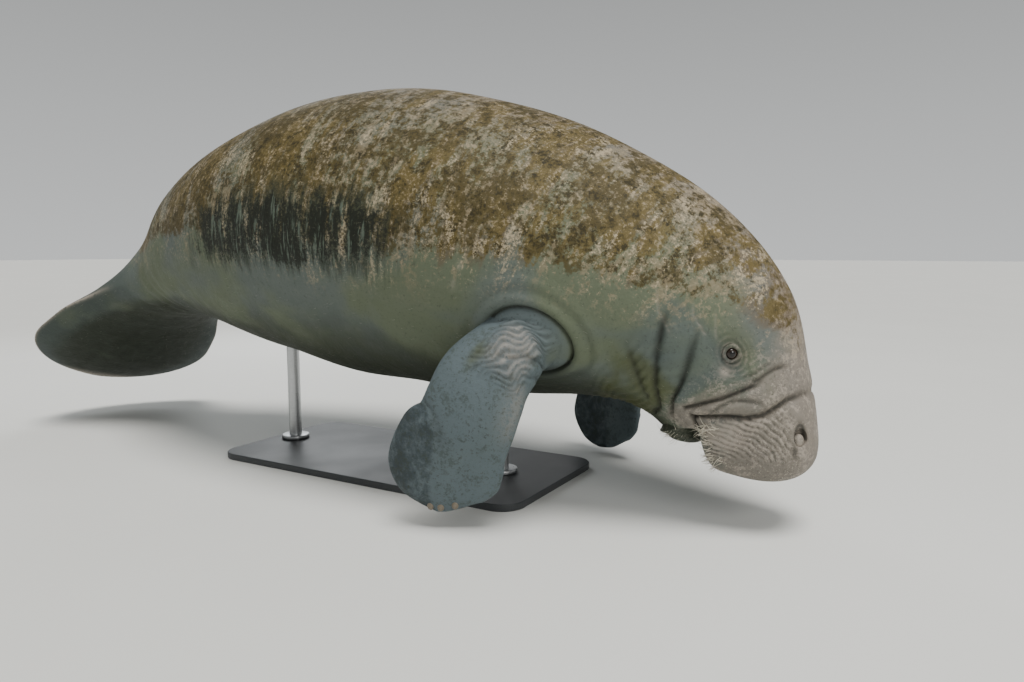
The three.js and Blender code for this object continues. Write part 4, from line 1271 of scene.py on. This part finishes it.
def rod_material():
    """Brushed stainless steel: round the rod run fine hairlines that soften its highlight."""
    made, tree, shader = new_material("brushed_stainless_steel", 0.32, Metallic=1.0)
    place = add(tree, "ShaderNodeTexCoord").outputs["Object"]
    scaled = add(tree, "ShaderNodeVectorMath", {0: place, 1: (60, 60, 1 / 0.0009)}, operation="MULTIPLY")
    inputs = {"Vector": scaled.outputs[0], "Scale": 1.0, "Detail": 3.0}
    lines = add(tree, "ShaderNodeTexNoise", inputs).outputs["Fac"]
    inputs = {0: lines, 6: linear("#a3a5a6"), 7: linear("#c9cbcc")}
    colour = add(tree, "ShaderNodeMix", inputs, data_type="RGBA")
    tree.links.new(colour.outputs[2], shader.inputs["Base Color"])
    inputs = {"Value": lines, "From Min": 0.3, "From Max": 0.7, "To Min": 0.26, "To Max": 0.42}
    tree.links.new(add(tree, "ShaderNodeMapRange", inputs).outputs[0], shader.inputs["Roughness"])
    relief = add(tree, "ShaderNodeBump", {"Height": lines, "Strength": 0.25, "Distance": 0.0002})
    tree.links.new(relief.outputs[0], shader.inputs["Normal"])
    return made


def base_material():
    """Sprayed satin lacquer on board: an even dark grey with faint orange peel of about 2 mm."""
    made, tree, shader = new_material("satin_sprayed_lacquer", 0.42, IOR=1.48)
    place = add(tree, "ShaderNodeTexCoord").outputs["Object"]
    inputs = {"Vector": place, "Scale": 1 / 0.002, "Detail": 2.0}
    peel = add(tree, "ShaderNodeTexNoise", inputs).outputs["Fac"]
    inputs = {"Vector": place, "Scale": 1 / 0.22, "Detail": 4.0}
    handled = add(tree, "ShaderNodeTexNoise", inputs).outputs["Fac"]
    inputs = {0: handled, 6: linear("#2b2e30"), 7: linear("#3a3d3f")}
    colour = add(tree, "ShaderNodeMix", inputs, data_type="RGBA")
    tree.links.new(colour.outputs[2], shader.inputs["Base Color"])
    inputs = {"Value": handled, "From Min": 0.3, "From Max": 0.7, "To Min": 0.36, "To Max": 0.5}
    tree.links.new(add(tree, "ShaderNodeMapRange", inputs).outputs[0], shader.inputs["Roughness"])
    relief = add(tree, "ShaderNodeBump", {"Height": peel, "Strength": 0.15, "Distance": 0.0002})
    tree.links.new(relief.outputs[0], shader.inputs["Normal"])
    return made


def floor_material():
    """Matt studio paint: pale, with no gloss to draw the eye."""
    made, tree, shader = new_material("matt_floor_paint", 0.9)
    place = add(tree, "ShaderNodeTexCoord").outputs["Object"]
    inputs = {"Vector": place, "Scale": 1 / 0.9, "Detail": 3.0}
    wear = add(tree, "ShaderNodeTexNoise", inputs).outputs["Fac"]
    inputs = {0: wear, 6: linear("#d7d8d5"), 7: linear("#dfe0dd")}
    colour = add(tree, "ShaderNodeMix", inputs, data_type="RGBA")
    tree.links.new(colour.outputs[2], shader.inputs["Base Color"])
    return made


# Build the animal and its stand


def finish_piece(piece, material, flat_angle=None):
    only(piece)
    if flat_angle is None:
        bpy.ops.object.shade_smooth()
    else:
        bpy.ops.object.shade_smooth_by_angle(angle=math.radians(flat_angle))
    piece.data.materials.clear()
    piece.data.materials.append(material)
    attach(piece, "root")


skin = make_skin()
skin_points = read(skin.data.vertices, "co")
store_values(skin, skin_points, lay_values(skin, skin_points))
finish_piece(skin, hide_material())
FLESH = ["muzzle", "lower_jaw", "head", "neck", "chest", "trunk_middle", "trunk_rear"]
FLESH += ["tail_stock", "tail_paddle"]
FLESH += [f"flipper_{side}_{part}" for side in ("right", "left") for part in ("arm", "hand")]
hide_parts(*FLESH)
finish_piece(make_bristles(), bristle_material("nylon_bristle", 0.72))
finish_piece(make_body_hairs(), bristle_material("fine_nylon_hair", 0.35))
eye_finish, nail_finish, rod_finish = eye_material(), nail_material(), rod_material()
for side in (1, -1):
    finish_piece(make_eye(side), eye_finish)
    for nail in make_nails(side):
        finish_piece(nail, nail_finish)
for name, x, node in RODS:
    finish_piece(make_rod(name, x, node), rod_finish, 30)
base_finish = base_material()
for slot in bpy.data.objects["stand_base"].material_slots:
    slot.material = base_finish


# Floor, light and camera


def make_floor():
    deselect()
    bpy.ops.mesh.primitive_plane_add(size=90, location=(0, 0, 0))
    floor = bpy.context.object
    floor.name = floor.data.name = "floor"
    floor.data.transform(Matrix.Translation((0, 0, -0.0005)))
    floor.data.materials.append(floor_material())


def soft_light(name, place, target, size, power_watts, colour=(1, 1, 1)):
    lamp = bpy.data.lights.new(name, "AREA")
    lamp.shape, lamp.size, lamp.energy, lamp.color = "SQUARE", size, power_watts, colour
    piece = bpy.data.objects.new(name, lamp)
    bpy.context.collection.objects.link(piece)
    way = Vector(target) - Vector(place)
    piece.matrix_world = Matrix.Translation(place) @ way.to_track_quat("-Z", "Y").to_matrix().to_4x4()


def make_camera():
    lens = bpy.data.cameras.new("camera")
    lens.sensor_width = SENSOR_WIDTH
    lens.lens = FOCAL_PIXELS * SENSOR_WIDTH / IMAGE_WIDTH
    lens.clip_start, lens.clip_end = 0.05, 200
    camera = bpy.data.objects.new("camera", lens)
    bpy.context.collection.objects.link(camera)
    camera.location = CAMERA_PLACE
    camera.rotation_euler = (math.radians(90 - CAMERA_PITCH), 0, math.radians(CAMERA_YAW))
    bpy.context.scene.camera = camera


make_floor()
lamp = bpy.data.lights.new("overhead", "SUN")
lamp.energy, lamp.angle, lamp.color = 3.3, math.radians(28), (1.0, 0.98, 0.94)
overhead = bpy.data.objects.new("overhead", lamp)
bpy.context.collection.objects.link(overhead)
overhead.matrix_world = Vector((0.55, -0.35, 2.2)).to_track_quat("Z", "Y").to_matrix().to_4x4()
soft_light("front", (3.0, -1.6, 1.7), (0.3, 0, 0.5), 1.2, 34, (1.0, 0.98, 0.95))
soft_light("rear", (-2.6, 2.4, 2.2), (-0.2, 0, 0.5), 1.6, 40, (0.94, 0.98, 1.0))
world = bpy.data.worlds.new("studio")
world.use_nodes = True
backdrop = world.node_tree
way = add(backdrop, "ShaderNodeTexCoord").outputs["Generated"]
heights = add(backdrop, "ShaderNodeSeparateXYZ", {0: way})
fading = {"Value": heights.outputs["Z"], "From Max": 0.5, "To Min": 0.70, "To Max": 0.26}
fade = add(backdrop, "ShaderNodeMapRange", fading)
backdrop.links.new(fade.outputs[0], backdrop.nodes["Background"].inputs["Strength"])
backdrop.nodes["Background"].inputs["Color"].default_value = (0.95, 0.97, 0.97, 1)
bpy.context.scene.world = world
make_camera()
